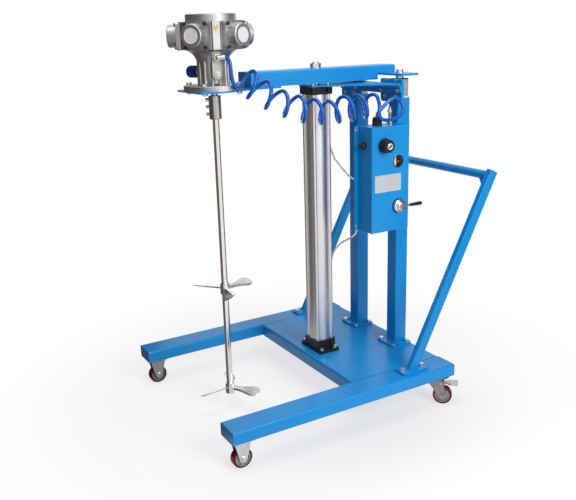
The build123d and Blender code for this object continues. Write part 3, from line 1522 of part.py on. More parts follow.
speed_knob_y = box_front_y - speed_collar - knob_gap
with BuildPart() as speed_knob:
    with BuildSketch(Plane.XZ.offset(-speed_knob_y)):
        with Locations(speed_place):
            Circle(9)
    extrude(amount=speed_knob_neck)
    with BuildSketch(Plane.XZ.offset(-(speed_knob_y - speed_knob_neck))):
        with Locations(speed_place):
            Circle(speed_knob_radius)
            with PolarLocations(speed_knob_radius + 1, 12):
                Circle(2.2, mode=Mode.SUBTRACT)
    extrude(amount=speed_knob_length)
    with BuildSketch(Plane.XZ.offset(-speed_knob_y)):
        with Locations(speed_place):
            Circle(4 + running_clearance)
    extrude(amount=speed_spindle - speed_collar, mode=Mode.SUBTRACT)
speed_knob.part.label = "speed_knob"
export_step(speed_knob.part, "parts/speed_knob.step")

# Fittings: hose socket on the box, and elbows for the two clear tubes
socket_radius = 18.5
socket_height = 31
elbow_radius = 7
lower_elbow = (-22, cylinder_y + cap_size / 2 + 13, cap_z + bottom_cap_height * 0.6)
upper_elbow = (-22, cylinder_y + cap_size / 2 + 13, top_cap_z + top_cap_height / 2)
elbow_up = 30
elbow_down = 26
lower_elbow_top = lower_elbow[2] + elbow_up
upper_elbow_end = upper_elbow[2] - elbow_down
plate_elbow_x = box_x - 22
lower_plate_elbow = (plate_elbow_x, plate_port_y, lower_port_z)
lower_plate_end = lower_port_z - 18
with BuildPart() as air_fittings:
    with BuildSketch(Plane.XY.offset(box_top)):
        with Locations(hose_socket_place):
            Circle(socket_radius)
            with PolarLocations(socket_radius + 0.8, 16):
                Circle(1.6, mode=Mode.SUBTRACT)
    extrude(amount=socket_height - 6)
    with BuildSketch(Plane.XY.offset(box_top + socket_height - 6)):
        with Locations(hose_socket_place):
            Circle(socket_radius - 3)
    extrude(amount=6)
    with BuildSketch(Plane.XY.offset(box_top)):
        with Locations(hose_socket_place):
            Circle(socket_neck)
    extrude(amount=-16)
    for corner_point, heading, length in ((lower_elbow, 1, elbow_up), (upper_elbow, -1, elbow_down)):
        with BuildSketch(Plane.XZ.offset(-(cylinder_y + cap_size / 2))):
            with Locations((corner_point[0], corner_point[2])):
                Circle(elbow_radius)
        extrude(amount=-13)
        with Locations(corner_point):
            Sphere(elbow_radius)
        with BuildSketch(Plane.XY.offset(corner_point[2])):
            with Locations((corner_point[0], corner_point[1])):
                Circle(elbow_radius)
        extrude(amount=heading * length)
    with BuildSketch(Plane.YZ.offset(box_x + box_plate)):
        with Locations((plate_port_y, upper_port_z), (plate_port_y, lower_port_z)):
            Circle(elbow_radius - 0.5)
    extrude(amount=-(22 + box_plate))
    with BuildSketch(Plane.YZ.offset(box_x)):
        with Locations((plate_port_y, upper_port_z), (plate_port_y, lower_port_z)):
            RegularPolygon(9, 6, major_radius=False)
    extrude(amount=-8)
    with Locations(lower_plate_elbow):
        Sphere(elbow_radius)
    with BuildSketch(Plane.XY.offset(lower_port_z)):
        with Locations((plate_elbow_x, plate_port_y)):
            Circle(elbow_radius)
    extrude(amount=-18)
air_fittings.part.label = "air_fittings"
export_step(air_fittings.part, "parts/air_fittings.step")

# Supply nipple: where the workshop's air line plugs in, behind the hose socket
nipple_radius = 7
nipple_height = 62
nipple_hexagon = 10
nipple_stub = 10
with BuildPart() as supply_nipple:
    with BuildSketch(Plane.XY.offset(box_top)):
        with Locations(nipple_place):
            Circle(12)
    extrude(amount=10)
    with BuildSketch(Plane.XY.offset(box_top)):
        with Locations(nipple_place):
            Circle(nipple_neck)
    extrude(amount=-14)
    with BuildSketch(Plane.XY.offset(box_top + 10)):
        with Locations(nipple_place):
            Circle(nipple_radius)
    extrude(amount=nipple_height - nipple_hexagon - nipple_stub - 10)
    with BuildSketch(Plane.XY.offset(box_top + nipple_height - nipple_hexagon - nipple_stub)):
        with Locations(nipple_place):
            RegularPolygon(9, 6, major_radius=False)
    extrude(amount=nipple_hexagon)
    with BuildSketch(Plane.XY.offset(box_top + nipple_height - nipple_stub)):
        with Locations(nipple_place):
            Circle(nipple_radius - 1)
    extrude(amount=nipple_stub)
supply_nipple.part.label = "supply_nipple"
export_step(supply_nipple.part, "parts/supply_nipple.step")


def bend_radii(points):
    """For each corner of a route, 0.45 of its shorter run over the tangent of half the turn."""
    vectors = [Vector(*point) for point in points]
    runs = [after - before for before, after in zip(vectors, vectors[1:])]
    return [
        0.45 * min(before.length, after.length) / tan(radians(before.get_angle(after) / 2))
        for before, after in zip(runs, runs[1:])
    ]


# Clear air tubes: held between their fittings, behind the cylinder. Each point is a distance
# across, a distance behind the cylinder's fitting and a share of the way from that fitting
upper_run = upper_port_z - upper_elbow_end
upper_tube_points = [
    (upper_elbow[0], upper_elbow[1], upper_elbow_end),
    *((across, upper_elbow[1] + behind, upper_elbow_end + upper_run * share) for across, behind, share in (
        (upper_elbow[0], 0, 0.185),
        (-21, 1.3, 0.376),
        (-16, 5.3, 0.566),
        (8, 10.3, 0.762),
        (52, 15.3, 0.867),
        (100, 25.5, 0.975),
    )),
    (plate_elbow_x - 22, plate_port_y, upper_port_z),
    (plate_elbow_x, plate_port_y, upper_port_z),
]
lower_run = lower_plate_end - lower_elbow_top
lower_tube_points = [
    (lower_elbow[0], lower_elbow[1], lower_elbow_top),
    *((across, lower_elbow[1] + behind, lower_elbow_top + lower_run * share) for across, behind, share in (
        (lower_elbow[0], 0, 0.129),
        (-23, 0.3, 0.255),
        (-25, 2.3, 0.38),
        (-23, 5.3, 0.506),
        (-14, 8.3, 0.631),
        (8, 12.3, 0.742),
        (50, 17.3, 0.824),
        (94, 23.3, 0.872),
        (128, 26.5, 0.92),
    )),
    (plate_elbow_x, plate_port_y, lower_plate_end - 22),
    (plate_elbow_x, plate_port_y, lower_plate_end),
]
for name, points in (("air_tube_upper", upper_tube_points), ("air_tube_lower", lower_tube_points)):
    radii = bend_radii(points)
    with BuildPart() as air_tube:
        with BuildLine() as route:
            FilletPolyline(*points, radius=radii)
        with BuildSketch(route.line ^ 0):
            Circle(tube_radius)
        sweep()
    air_tube.part.label = name
    export_step(air_tube.part, f"parts/{name}.step")
    run = sum(edge.length for edge in route.edges())
    print(name, [round(bend) for bend in radii], "length", round(run), "volume share",
          round(air_tube.part.volume / (tube_radius**2 * pi * run), 4))

# Air hose: a lead from the motor's elbow, a coil, and a loop down into the box's socket
elbow_end = elbow_plane.offset(elbow_length).origin
coil_points = [
    (132, -311, 1279),
    (141, -255, 1239),
    (150, -195, 1207),
    (159, -135, 1183),
    (168, -73, 1170),
    (177, -14, 1166),
    (187, 50, 1168),
    (196, 102, 1175),
    (204, 146, 1181),
]
lead_points = [
    (elbow_end.X, elbow_end.Y, elbow_end.Z),
    (elbow_end.X + 9.4, elbow_end.Y + 17.7, elbow_end.Z),
    (121, -369, 1358),
    (124, -363, 1331),
    (125.5, -355, 1305),
    (128.9, -330.4, 1292.8),
    (coil_points[0][0] - 0.05, coil_points[0][1] - 0.33, coil_points[0][2] + 0.23),
]
tail_points = [
    coil_points[-1],
    (209, 173.5, 1184.8),
    (224, 198, 1172),
    (232, 226, 1148),
    (231, 256, 1130),
    (226, 279, 1142),
    (220, 285, 1168),
    (215, 270, 1193),
    (212, 243, 1205),
    (210, 215, 1190),
    (208.5, 192, 1170),
    (hose_socket_place[0], hose_socket_place[1], 1158),
    (hose_socket_place[0], hose_socket_place[1], box_top + socket_height),
]
for name, points, radius in (
    ("hose_lead", lead_points, hose_radius),
    ("hose_coil", coil_points, coil_radius),
    ("hose_tail", tail_points, hose_radius),
):
    radii = bend_radii(points)
    with BuildPart() as hose:
        with BuildLine() as route:
            FilletPolyline(*points, radius=radii)
        with BuildSketch(route.line ^ 0):
            Circle(radius)
        sweep()
    hose.part.label = name
    export_step(hose.part, f"parts/{name}.step")
    run = sum(edge.length for edge in route.edges())
    print(name, [round(bend) for bend in radii], "length", round(run), "volume share",
          round(hose.part.volume / (radius**2 * pi * run), 4))
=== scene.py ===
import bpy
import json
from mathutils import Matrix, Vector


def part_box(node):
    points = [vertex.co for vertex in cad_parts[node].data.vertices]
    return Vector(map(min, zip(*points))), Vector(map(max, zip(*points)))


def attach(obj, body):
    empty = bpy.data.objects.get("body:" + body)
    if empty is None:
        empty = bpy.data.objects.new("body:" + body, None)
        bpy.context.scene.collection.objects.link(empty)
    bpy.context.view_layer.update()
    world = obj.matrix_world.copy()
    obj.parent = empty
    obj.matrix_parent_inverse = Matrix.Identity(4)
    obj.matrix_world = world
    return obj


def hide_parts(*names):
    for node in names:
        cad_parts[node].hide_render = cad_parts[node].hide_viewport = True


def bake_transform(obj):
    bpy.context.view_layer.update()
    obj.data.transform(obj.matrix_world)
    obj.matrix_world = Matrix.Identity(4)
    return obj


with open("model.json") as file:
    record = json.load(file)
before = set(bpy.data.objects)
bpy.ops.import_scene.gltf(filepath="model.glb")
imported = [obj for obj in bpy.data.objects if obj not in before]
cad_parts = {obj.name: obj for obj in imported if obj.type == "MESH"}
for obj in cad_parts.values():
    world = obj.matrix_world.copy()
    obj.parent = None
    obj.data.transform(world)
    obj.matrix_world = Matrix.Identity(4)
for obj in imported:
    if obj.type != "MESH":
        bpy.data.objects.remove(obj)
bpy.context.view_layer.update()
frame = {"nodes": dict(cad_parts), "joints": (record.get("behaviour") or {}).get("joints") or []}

import json
from math import asin, cos, hypot, pi, radians, sin

import bmesh
import bpy
from mathutils import Matrix, Vector

# The studio: a camera at the photograph's angle, a big soft lamp on the control box side and
# a weaker one overhead. Brown curtains and two dark flags mirror in the metal, and a third
# flag shades the rail ends. The floor is pale, with a painted soft shadow beside the right
# rail, and turns white a metre or so out.
scene = bpy.context.scene
scene.view_settings.view_transform = "Standard"

turn_round = radians(59.908)
look_down = radians(16.257)
camera_roll = radians(1.6416)
eye = (2.49805, -1.56025, 1.4582)
back = Vector((sin(turn_round) * cos(look_down), -cos(turn_round) * cos(look_down),
               sin(look_down)))
right = Vector((cos(turn_round), sin(turn_round), 0))
up = back.cross(right)
rolled_right = right * cos(camera_roll) - up * sin(camera_roll)
rolled_up = right * sin(camera_roll) + up * cos(camera_roll)
camera = bpy.data.objects.new("camera", bpy.data.cameras.new("camera"))
camera.matrix_world = Matrix.Translation(eye) @ Matrix(
    (rolled_right, rolled_up, back)).transposed().to_4x4()
camera.data.sensor_width = 36
camera.data.lens = 47.077
camera.data.clip_end = 60
scene.collection.objects.link(camera)
scene.camera = camera


def soft_lamp(name, place, aim, size, power):
    lamp = bpy.data.lights.new(name, "AREA")
    lamp.shape = "DISK"
    lamp.size = size
    lamp.energy = power
    stand = bpy.data.objects.new(name, lamp)
    stand.location = place
    stand.rotation_euler = (Vector(aim) - Vector(place)).to_track_quat("-Z", "Y").to_euler()
    scene.collection.objects.link(stand)


soft_lamp("key_lamp", (4.3, 0.6, 2.9), (0, -0.1, 0.8), 2.6, 150)
soft_lamp("top_lamp", (0.6, -0.8, 4.6), (0, -0.1, 0.6), 2.2, 52)


def node_tree(name):
    material = bpy.data.materials.new(name)
    material.use_nodes = True
    material.node_tree.nodes.clear()
    return material, material.node_tree


def put(tree, kind, inputs=(), **settings):
    node = tree.nodes.new(kind)
    for key, value in settings.items():
        setattr(node, key, value)
    for socket, value in dict(inputs).items():
        if isinstance(value, bpy.types.NodeSocket):
            tree.links.new(value, node.inputs[socket])
        else:
            node.inputs[socket].default_value = value
    return node


def seen_rays(tree):
    """1 for rays from the camera, from gloss and through clear plastic, and 0 for lighting rays."""
    light = put(tree, "ShaderNodeLightPath")
    first = put(tree, "ShaderNodeMath", {
        0: light.outputs["Is Camera Ray"], 1: light.outputs["Is Glossy Ray"]}, operation="ADD")
    return put(tree, "ShaderNodeMath", {
        0: first.outputs[0], 1: light.outputs["Is Transmission Ray"]},
        operation="ADD", use_clamp=True).outputs[0]


def pale_floor():
    """A lit floor near the machine that fades to white, with a painted soft shadow beside the right rail."""
    fade_start, fade_end = 0.55, 1.5
    shade_dark, shade_light = 0.6, 0.72
    material, tree = node_tree("pale_floor")
    place = put(tree, "ShaderNodeTexCoord").outputs["Object"]
    far = put(tree, "ShaderNodeVectorMath", {0: place}, operation="LENGTH").outputs["Value"]
    fade = put(tree, "ShaderNodeMapRange",
               {"Value": far, "From Min": fade_start, "From Max": fade_end},
               interpolation_type="SMOOTHSTEP").outputs["Result"]
    lit = put(tree, "ShaderNodeBsdfDiffuse", {"Color": (0.3, 0.3, 0.3, 1)}).outputs[0]
    # Painted soft shadow: the floor's glow is lowered in an oval beside the right rail.
    beside = put(tree, "ShaderNodeMapping", {
        "Vector": place, "Scale": (2.2, 1.1, 1), "Location": (-1.1, 0.0, 0)})
    shade_out = put(tree, "ShaderNodeVectorMath", {0: beside.outputs[0]},
                    operation="LENGTH").outputs["Value"]
    shade = put(tree, "ShaderNodeMapRange",
                {"Value": shade_out, "To Min": shade_dark, "To Max": shade_light},
                interpolation_type="SMOOTHSTEP").outputs["Result"]
    glow = put(tree, "ShaderNodeEmission", {"Color": (1, 1, 1, 1), "Strength": shade}).outputs[0]
    near = put(tree, "ShaderNodeAddShader", {0: lit, 1: glow}).outputs[0]
    white = put(tree, "ShaderNodeEmission", {"Color": (1, 1, 1, 1), "Strength": 1.0}).outputs[0]
    seen = put(tree, "ShaderNodeMixShader", {0: fade, 1: near, 2: white}).outputs[0]
    plain = put(tree, "ShaderNodeBsdfDiffuse", {"Color": (0.8, 0.8, 0.8, 1)}).outputs[0]
    both = put(tree, "ShaderNodeMixShader", {0: seen_rays(tree), 1: plain, 2: seen}).outputs[0]
    put(tree, "ShaderNodeOutputMaterial", {"Surface": both})
    return material


def mesh_piece(name, mesh_maker, *materials):
    """A piece from a bmesh that the maker fills."""
    mesh = bpy.data.meshes.new(name)
    shape = bmesh.new()
    mesh_maker(shape)
    shape.to_mesh(mesh)
    shape.free()
    piece = bpy.data.objects.new(name, mesh)
    scene.collection.objects.link(piece)
    for material in materials:
        mesh.materials.append(material)
    return piece


def sheet_of(width, depth, place=(0, 0, 0)):
    """A flat grid, for the floor and the flags."""
    def fill(shape):
        bmesh.ops.create_grid(
            shape, x_segments=12, y_segments=12, size=0.5,
            matrix=Matrix.Translation(place) @ Matrix.Diagonal((width, depth, 1, 1)))
    return fill


floor = mesh_piece("floor", sheet_of(24, 24), pale_floor())

dark_cloth, tree = node_tree("dark_cloth")
put(tree, "ShaderNodeOutputMaterial", {
    "Surface": put(tree, "ShaderNodeBsdfDiffuse", {"Color": (0.02, 0.02, 0.02, 1)}).outputs[0]})
for name, place, facing, width, height, mirrored in (
    ("flag_drum_side", (-2.1, -1.7, 0.55), (0.8, 0.6, 0), 2.3, 2.6, True),
    ("flag_front", (-1.0, -3.1, 1.0), (0.3, 1, 0), 3.0, 2.6, True),
    ("flag_rail_ends", (-0.1, -0.86, 0.3), (0, 1, 0), 1.6, 0.58, False),
):
    flag = mesh_piece(name, sheet_of(width, height), dark_cloth)
    flag.location = place
    flag.rotation_euler = Vector(facing).to_track_quat("Z", "Y").to_euler()
    flag.visible_camera = False
    flag.visible_shadow = False
    flag.visible_transmission = False
    flag.visible_glossy = mirrored


def curtain_round(foot, radius, start, end, height, folds=40):
    """A curtain hung on an arc, whose foot lies on the floor towards the middle."""
    hem = 0.003

    def fill(shape):
        turns = [radians(start + (end - start) * k / folds) for k in range(folds + 1)]
        rows = [[shape.verts.new((out * cos(turn), out * sin(turn), z)) for turn in turns]
                for out, z in ((foot, hem), (radius, hem), (radius, height))]
        for one, two in zip(rows, rows[1:]):
            for k in range(folds):
                shape.faces.new((one[k], one[k + 1], two[k + 1], two[k]))
    return fill


brown_cloth, tree = node_tree("brown_cloth")
put(tree, "ShaderNodeOutputMaterial", {
    "Surface": put(tree, "ShaderNodeEmission", {
        "Color": (0.15, 0.12, 0.1, 1), "Strength": 1.0}).outputs[0]})
curtain_height = 2.1
for name, foot, radius, start, end in (("curtain_drum_side", 0.05, 1.0, -56, -185),
                                       ("curtain_handle_side", 1.5, 1.6, 50, 100)):
    curtain = mesh_piece(name, curtain_round(foot, radius, start, end, curtain_height),
                         brown_cloth)
    curtain.location = (0, -0.4, 0)
    curtain.visible_camera = False
    curtain.visible_shadow = False
    curtain.visible_transmission = False
    curtain.visible_diffuse = False

world = bpy.data.worlds.new("white_room")
scene.world = world
world.use_nodes = True
tree = world.node_tree
tree.nodes.clear()
seen = seen_rays(tree)
strength = put(tree, "ShaderNodeMapRange",
               {"Value": seen, "To Min": 0.3, "To Max": 1.0}).outputs["Result"]
white_room = put(tree, "ShaderNodeBackground",
                 {"Color": (1, 1, 1, 1), "Strength": strength}).outputs[0]
put(tree, "ShaderNodeOutputWorld", {"Surface": white_room})

# Air hose: one length of 14 mm coiled polyurethane air line. It leaves the motor's inlet
# elbow, drops to the coil, stretches in eight turns to the control box, makes one loose
# loop there and goes down into the socket. It is cut from pre-formed coil, so it is springy.


def surface(name, colour, shade, roughness, metallic=0.0, grain=180, stretch=(1, 1, 1), bump=0.0,
            coat=0.0, coat_roughness=0.1, spread=0.05, **more):
    """A finish whose colour, roughness and relief follow one grain and one slow cloud."""
    cloud_low, cloud_high = 0.12, 0.42
    material, tree = node_tree(name)
    place = put(tree, "ShaderNodeTexCoord").outputs["Object"]
    along = put(tree, "ShaderNodeMapping", {"Vector": place, "Scale": stretch}).outputs["Vector"]
    fine = put(tree, "ShaderNodeTexNoise",
               {"Vector": along, "Scale": grain, "Detail": 4.0}).outputs["Fac"]
    cloud = put(tree, "ShaderNodeTexNoise",
                {"Vector": place, "Scale": 9, "Detail": 3.0}).outputs["Fac"]
    both = put(tree, "ShaderNodeMath", {0: fine, 1: cloud}, operation="MULTIPLY").outputs[0]
    share = put(tree, "ShaderNodeMapRange",
                {"Value": both, "From Min": cloud_low, "From Max": cloud_high}).outputs["Result"]
    mixed = put(tree, "ShaderNodeMix", {0: share, 6: (*colour, 1), 7: (*shade, 1)},
                data_type="RGBA")
    rough = put(tree, "ShaderNodeMapRange", {
        "Value": both, "From Min": cloud_low, "From Max": cloud_high,
        "To Min": roughness - spread, "To Max": roughness + spread}).outputs["Result"]
    finish = put(tree, "ShaderNodeBsdfPrincipled", {
        "Base Color": mixed.outputs[2], "Roughness": rough, "Metallic": metallic,
        "Coat Weight": coat, "Coat Roughness": coat_roughness, **more})
    if bump:
        relief = put(tree, "ShaderNodeBump", {"Height": fine, "Distance": bump, "Strength": 1.0})
        tree.links.new(relief.outputs["Normal"], finish.inputs["Normal"])
    put(tree, "ShaderNodeOutputMaterial", {"Surface": finish.outputs[0]})
    return material


hose_blue = surface("hose_blue", (0.0, 0.14, 0.6), (0.0, 0.095, 0.44), 0.1, grain=60, bump=0.00002,
                    coat=0.55, coat_roughness=0.02, spread=0.03, **{"Specular IOR Level": 0.08})

hose_diameter = 0.014
elbow_end = (0.1044, -0.3999, 1.375)
lead_route = [
    elbow_end,
    (0.1082, -0.3922, 1.3745),
    (0.1190, -0.3885, 1.358),
    (0.1210, -0.3885, 1.330),
    (0.1210, -0.3860, 1.302),
    (0.1205, -0.3780, 1.281),
    (0.1170, -0.3620, 1.271),
    (0.1080, -0.3450, 1.277),
    (0.1020, -0.3300, 1.297),
]
coil_middle = [
    (0.127, -0.330, 1.291),
    (0.137, -0.279, 1.251),
    (0.147, -0.216, 1.215),
    (0.157, -0.152, 1.189),
    (0.167, -0.085, 1.173),
    (0.177, -0.024, 1.167),
    (0.187, 0.038, 1.176),
    (0.195, 0.090, 1.179),
    (0.204, 0.154, 1.179),
]
tail_route = [
    (0.232, 0.157, 1.202),
    (0.244, 0.154, 1.180),
    (0.249, 0.147, 1.157),
    (0.250, 0.152, 1.137),
    (0.248, 0.174, 1.127),
    (0.243, 0.205, 1.127),
    (0.238, 0.235, 1.129),
    (0.234, 0.262, 1.137),
    (0.228, 0.279, 1.155),
    (0.221, 0.280, 1.178),
    (0.215, 0.265, 1.197),
    (0.2135, 0.2506, 1.2041),
    (0.2120, 0.2319, 1.1997),
    (0.2105, 0.2143, 1.1871),
    (0.2092, 0.1976, 1.1734),
    (0.2080, 0.1832, 1.1610),
    (0.2073, 0.1735, 1.1506),
    (0.207, 0.17016, 1.143),
    (0.207, 0.17016, 1.128),
]
turn_radius = 0.0435
waver, waver_rate = 0.04, 2.3
steps_each_turn = 14
coil_route = []
for step in range(-1, (len(coil_middle) - 1) * steps_each_turn + 2):
    turns = step / steps_each_turn
    knot = min(max(int(turns), 0), len(coil_middle) - 2)
    here, there = Vector(coil_middle[knot]), Vector(coil_middle[knot + 1])
    middle = here.lerp(there, turns - knot)
    run = (there - here).normalized()
    side = run.cross(Vector((0, 0, 1))).normalized()
    rise = side.cross(run)
    wide = turn_radius * (1 + waver * sin(waver_rate * turns))
    coil_route.append(middle + wide * (rise * cos(2 * pi * turns) + side * sin(2 * pi * turns)))
hose_route = [Vector(p) for p in lead_route] + coil_route + [Vector(p) for p in tail_route]


def smooth_line(name, route):
    line = bpy.data.curves.new(name, "CURVE")
    line.dimensions = "3D"
    spline = line.splines.new("NURBS")
    spline.points.add(len(route) - 1)
    for point, place in zip(spline.points, route):
        point.co = (*place, 1)
    spline.order_u = 3
    spline.use_endpoint_u = True
    spline.resolution_u = 5
    return line


def points_along(line):
    carrier = bpy.data.objects.new(line.name, line)
    scene.collection.objects.link(carrier)
    bpy.context.view_layer.update()
    graph = bpy.context.evaluated_depsgraph_get()
    mesh = bpy.data.meshes.new_from_object(carrier.evaluated_get(graph))
    places = [vertex.co.copy() for vertex in mesh.vertices]
    bpy.data.objects.remove(carrier)
    bpy.data.meshes.remove(mesh)
    return places


def ring_wall(shape, one, two):
    """The faces between two closed rings of vertices."""
    count = len(one)
    return [shape.faces.new((one[k], one[(k + 1) % count], two[(k + 1) % count], two[k]))
            for k in range(count)]


def round_tube(places, radius, sides=16, ripple=0.0):
    """A closed tube round a line of points, with frames carried along it so it doesn't twist."""
    def fill(shape):
        ahead = [(places[min(i + 1, len(places) - 1)] - places[max(i - 1, 0)]).normalized()
                 for i in range(len(places))]
        out = ahead[0].orthogonal().normalized()
        rings = []
        for i, (place, way) in enumerate(zip(places, ahead)):
            out = (out - way * out.dot(way)).normalized()
            over = way.cross(out)
            thick = radius * (1 + ripple * (i % 2))
            rings.append([shape.verts.new(place + thick * (
                out * cos(2 * pi * k / sides) + over * sin(2 * pi * k / sides)))
                for k in range(sides)])
        for one, two in zip(rings, rings[1:]):
            ring_wall(shape, one, two)
        shape.faces.new(rings[0][::-1])
        shape.faces.new(rings[-1])
        for face in shape.faces:
            face.smooth = len(face.verts) == 4
    return fill


hose_line = points_along(smooth_line("hose_line", hose_route))
air_hose = mesh_piece("air_hose", round_tube(hose_line, hose_diameter / 2), hose_blue)
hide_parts("hose_lead", "hose_coil", "hose_tail")
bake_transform(air_hose)

# Wheeled base: two rectangular tube rails with welded end plates and a folded plate deck
# between them. The whole weldment is cleaned and sprayed with one coat of blue enamel, so
# it has a slight orange peel. The outer corners are painted a lighter blue in patches, as a
# painted highlight and as enamel rubbed thin.


def blue_enamel():
    """Sprayed enamel with an orange peel, and outer corners painted lighter in patches: painted highlight
    and thin enamel.
    """
    material, tree = node_tree("blue_enamel")
    place = put(tree, "ShaderNodeTexCoord").outputs["Object"]
    cloud = put(tree, "ShaderNodeTexNoise",
                {"Vector": place, "Scale": 3.5, "Detail": 4.0}).outputs["Fac"]
    cloud_share = put(tree, "ShaderNodeMapRange",
                      {"Value": cloud, "From Min": 0.3, "From Max": 0.7}).outputs["Result"]
    coat = put(tree, "ShaderNodeMix", {
        0: cloud_share, 6: (0.003, 0.25, 0.64, 1), 7: (0.005, 0.285, 0.7, 1)},
        data_type="RGBA").outputs[2]
    peel = put(tree, "ShaderNodeTexNoise",
               {"Vector": place, "Scale": 340, "Detail": 2.0}).outputs["Fac"]
    rounded = put(tree, "ShaderNodeBevel", {"Radius": 0.0022}, samples=4).outputs["Normal"]
    straight = put(tree, "ShaderNodeNewGeometry").outputs["Normal"]
    turned = put(tree, "ShaderNodeVectorMath", {0: rounded, 1: straight},
                 operation="DOT_PRODUCT").outputs["Value"]
    patchy = put(tree, "ShaderNodeTexNoise",
                 {"Vector": place, "Scale": 38, "Detail": 5.0}).outputs["Fac"]
    # The outer corners are painted a lighter blue in noisy patches, partly painted highlight and partly
    # enamel rubbed thin.
    corner = put(tree, "ShaderNodeMapRange",
                 {"Value": turned, "From Min": 0.985, "From Max": 0.9}).outputs["Result"]
    highlight_and_wear_patches = put(tree, "ShaderNodeMapRange",
                 {"Value": patchy, "From Min": 0.56, "From Max": 0.72}).outputs["Result"]
    highlight_and_wear = put(tree, "ShaderNodeMath", {0: corner, 1: highlight_and_wear_patches}, operation="MULTIPLY").outputs[0]
    highlight_and_worn_coat = put(tree, "ShaderNodeMix", {0: highlight_and_wear, 6: coat, 7: (0.16, 0.42, 0.72, 1)},
               data_type="RGBA").outputs[2]
    rough = put(tree, "ShaderNodeMapRange", {
        "Value": cloud, "From Min": 0.3, "From Max": 0.7,
        "To Min": 0.3, "To Max": 0.38}).outputs["Result"]
    relief = put(tree, "ShaderNodeBump",
                 {"Height": peel, "Distance": 0.00006, "Strength": 1.0}).outputs["Normal"]
    finish = put(tree, "ShaderNodeBsdfPrincipled", {
        "Base Color": highlight_and_worn_coat, "Roughness": rough, "Normal": relief, "Specular IOR Level": 0.28,
        "Coat Weight": 0.1, "Coat Roughness": 0.16}).outputs[0]
    put(tree, "ShaderNodeOutputMaterial", {"Surface": finish})
    return material


enamel = blue_enamel()


def dress(material, *nodes):
    """One finish for the whole of each CAD node."""
    for node in nodes:
        skin = frame["nodes"][node].data.materials
        skin.clear()
        skin.append(material)


dress(enamel, "side_rails", "deck_tray")

# Casters: pressed and zinc plated forks with a red moulded tread on a grey cast hub. The
# two at the back turn on a ball race round a king pin and have a pressed brake pedal.
front_zinc = surface("front_zinc", (0.66, 0.67, 0.69), (0.48, 0.49, 0.51), 0.22, metallic=0.55, grain=90,
                     spread=0.07)
rear_zinc = surface("rear_zinc", (0.34, 0.31, 0.28), (0.23, 0.21, 0.19), 0.24, metallic=1.0, grain=90,
                    spread=0.07)
pedal_zinc = surface("pedal_zinc", (0.6, 0.63, 0.66), (0.44, 0.47, 0.5), 0.25, metallic=1.0, grain=90,
                     spread=0.07)
tread_red = surface("tread_red", (0.17, 0.003, 0.014), (0.1, 0.002, 0.009), 0.3, grain=140, bump=0.00004,
                    coat=0.03, coat_roughness=0.2, **{"Specular IOR Level": 0.16})
hub_grey = surface("hub_grey", (0.36, 0.37, 0.38), (0.2, 0.2, 0.21), 0.42, metallic=0.6, grain=220,
                   bump=0.0001)
dress(front_zinc, "front_caster_forks")
dress(rear_zinc, "rear_swivel_plates", "rear_fork_left", "rear_fork_right")
dress(pedal_zinc, "brake_pedal_left", "brake_pedal_right")
hub_edge = 0.0295
for name in ("front_wheel_left", "front_wheel_right", "rear_wheel_left", "rear_wheel_right"):
    wheel = frame["nodes"][name]
    dress(tread_red, name)
    wheel.data.materials.append(hub_grey)
    turn = next(joint for joint in frame["joints"] if joint["child"] == name)
    middle, axle = Vector(turn["pos_m"]), Vector(turn["axis"]).normalized()
    for face in wheel.data.polygons:
        arm = face.center - middle
        out = (arm - axle * arm.dot(axle)).length
        face.material_index = 0 if out > hub_edge else 1

# Guide posts: two square tubes on welded foot plates, enamelled with the base and held
# down by zinc plated hexagon bolts. The machine's other bolts are plated too, apart from
# the black socket screws of the motor's heads.
bolt_zinc = surface("bolt_zinc", (0.74, 0.73, 0.7), (0.56, 0.55, 0.52), 0.34, metallic=1.0, grain=160,
                    spread=0.08)
dress(enamel, "guide_posts")
dress(bolt_zinc, "base_bolts", "frame_screws", "lift_nuts", "motor_screws")

# Welds: one rippled fillet bead for each post's foot, laid before painting, so it has the
# enamel of the frame. The base's own seams are ground flush. Both beads lie 15 mm too far
# out: the posts' middles are 0.135 m from the machine's, and the beads' are 0.15 m.
bead_radius = 0.0036
bead_step = 0.0028


def weld_bead(name, corners):
    """A bead on the chassis along straight seams, with a ripple at every step."""
    places = []
    for start, end in zip(corners, corners[1:]):
        start, end = Vector(start), Vector(end)
        count = max(2, round((end - start).length / bead_step))
        places += [start.lerp(end, k / count) for k in range(count)]
    places.append(Vector(corners[-1]))
    bead = mesh_piece(name, round_tube(places, bead_radius, sides=8, ripple=0.14), enamel)
    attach(bead, "chassis")


bead_height = 0.0101
bead_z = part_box("guide_posts")[0].z + bead_height
post_middle_y = 0.332159
post_half = 0.03
for name, bead_middle_x in (("left", 0.15), ("right", -0.15)):
    x0, x1 = bead_middle_x - post_half, bead_middle_x + post_half
    y0, y1 = post_middle_y - post_half, post_middle_y + post_half
    weld_bead(f"post_weld_{name}", [
        (x0, y0, bead_z), (x1, y0, bead_z), (x1, y1, bead_z), (x0, y1, bead_z), (x0, y0, bead_z)])

# Lift cylinder: a drawn aluminium profile barrel between black anodised end caps. A ground
# steel rod comes out of a turned brass gland, with the piston below it inside.
barrel_finish = surface("barrel_aluminium", (0.73, 0.72, 0.74), (0.66, 0.65, 0.67), 0.4, metallic=1.0,
                        grain=420, stretch=(1, 1, 0.012), bump=0.00002, spread=0.03)
cap_black = surface("cap_black", (0.012, 0.012, 0.013), (0.006, 0.006, 0.007), 0.42, grain=420,
                    bump=0.00004, **{"Specular IOR Level": 0.3})
rod_steel = surface("rod_steel", (0.72, 0.72, 0.73), (0.6, 0.6, 0.61), 0.14, metallic=1.0,
                    grain=700, stretch=(1, 1, 0.03))
turned_brass = surface("turned_brass", (0.78, 0.58, 0.25), (0.55, 0.38, 0.13), 0.26, metallic=1.0,
                       grain=240)
dress(barrel_finish, "cylinder_barrel")
dress(cap_black, "cylinder_foot", "cylinder_caps")
dress(turned_brass, "rod_gland")
dress(rod_steel, "piston_rod", "piston")

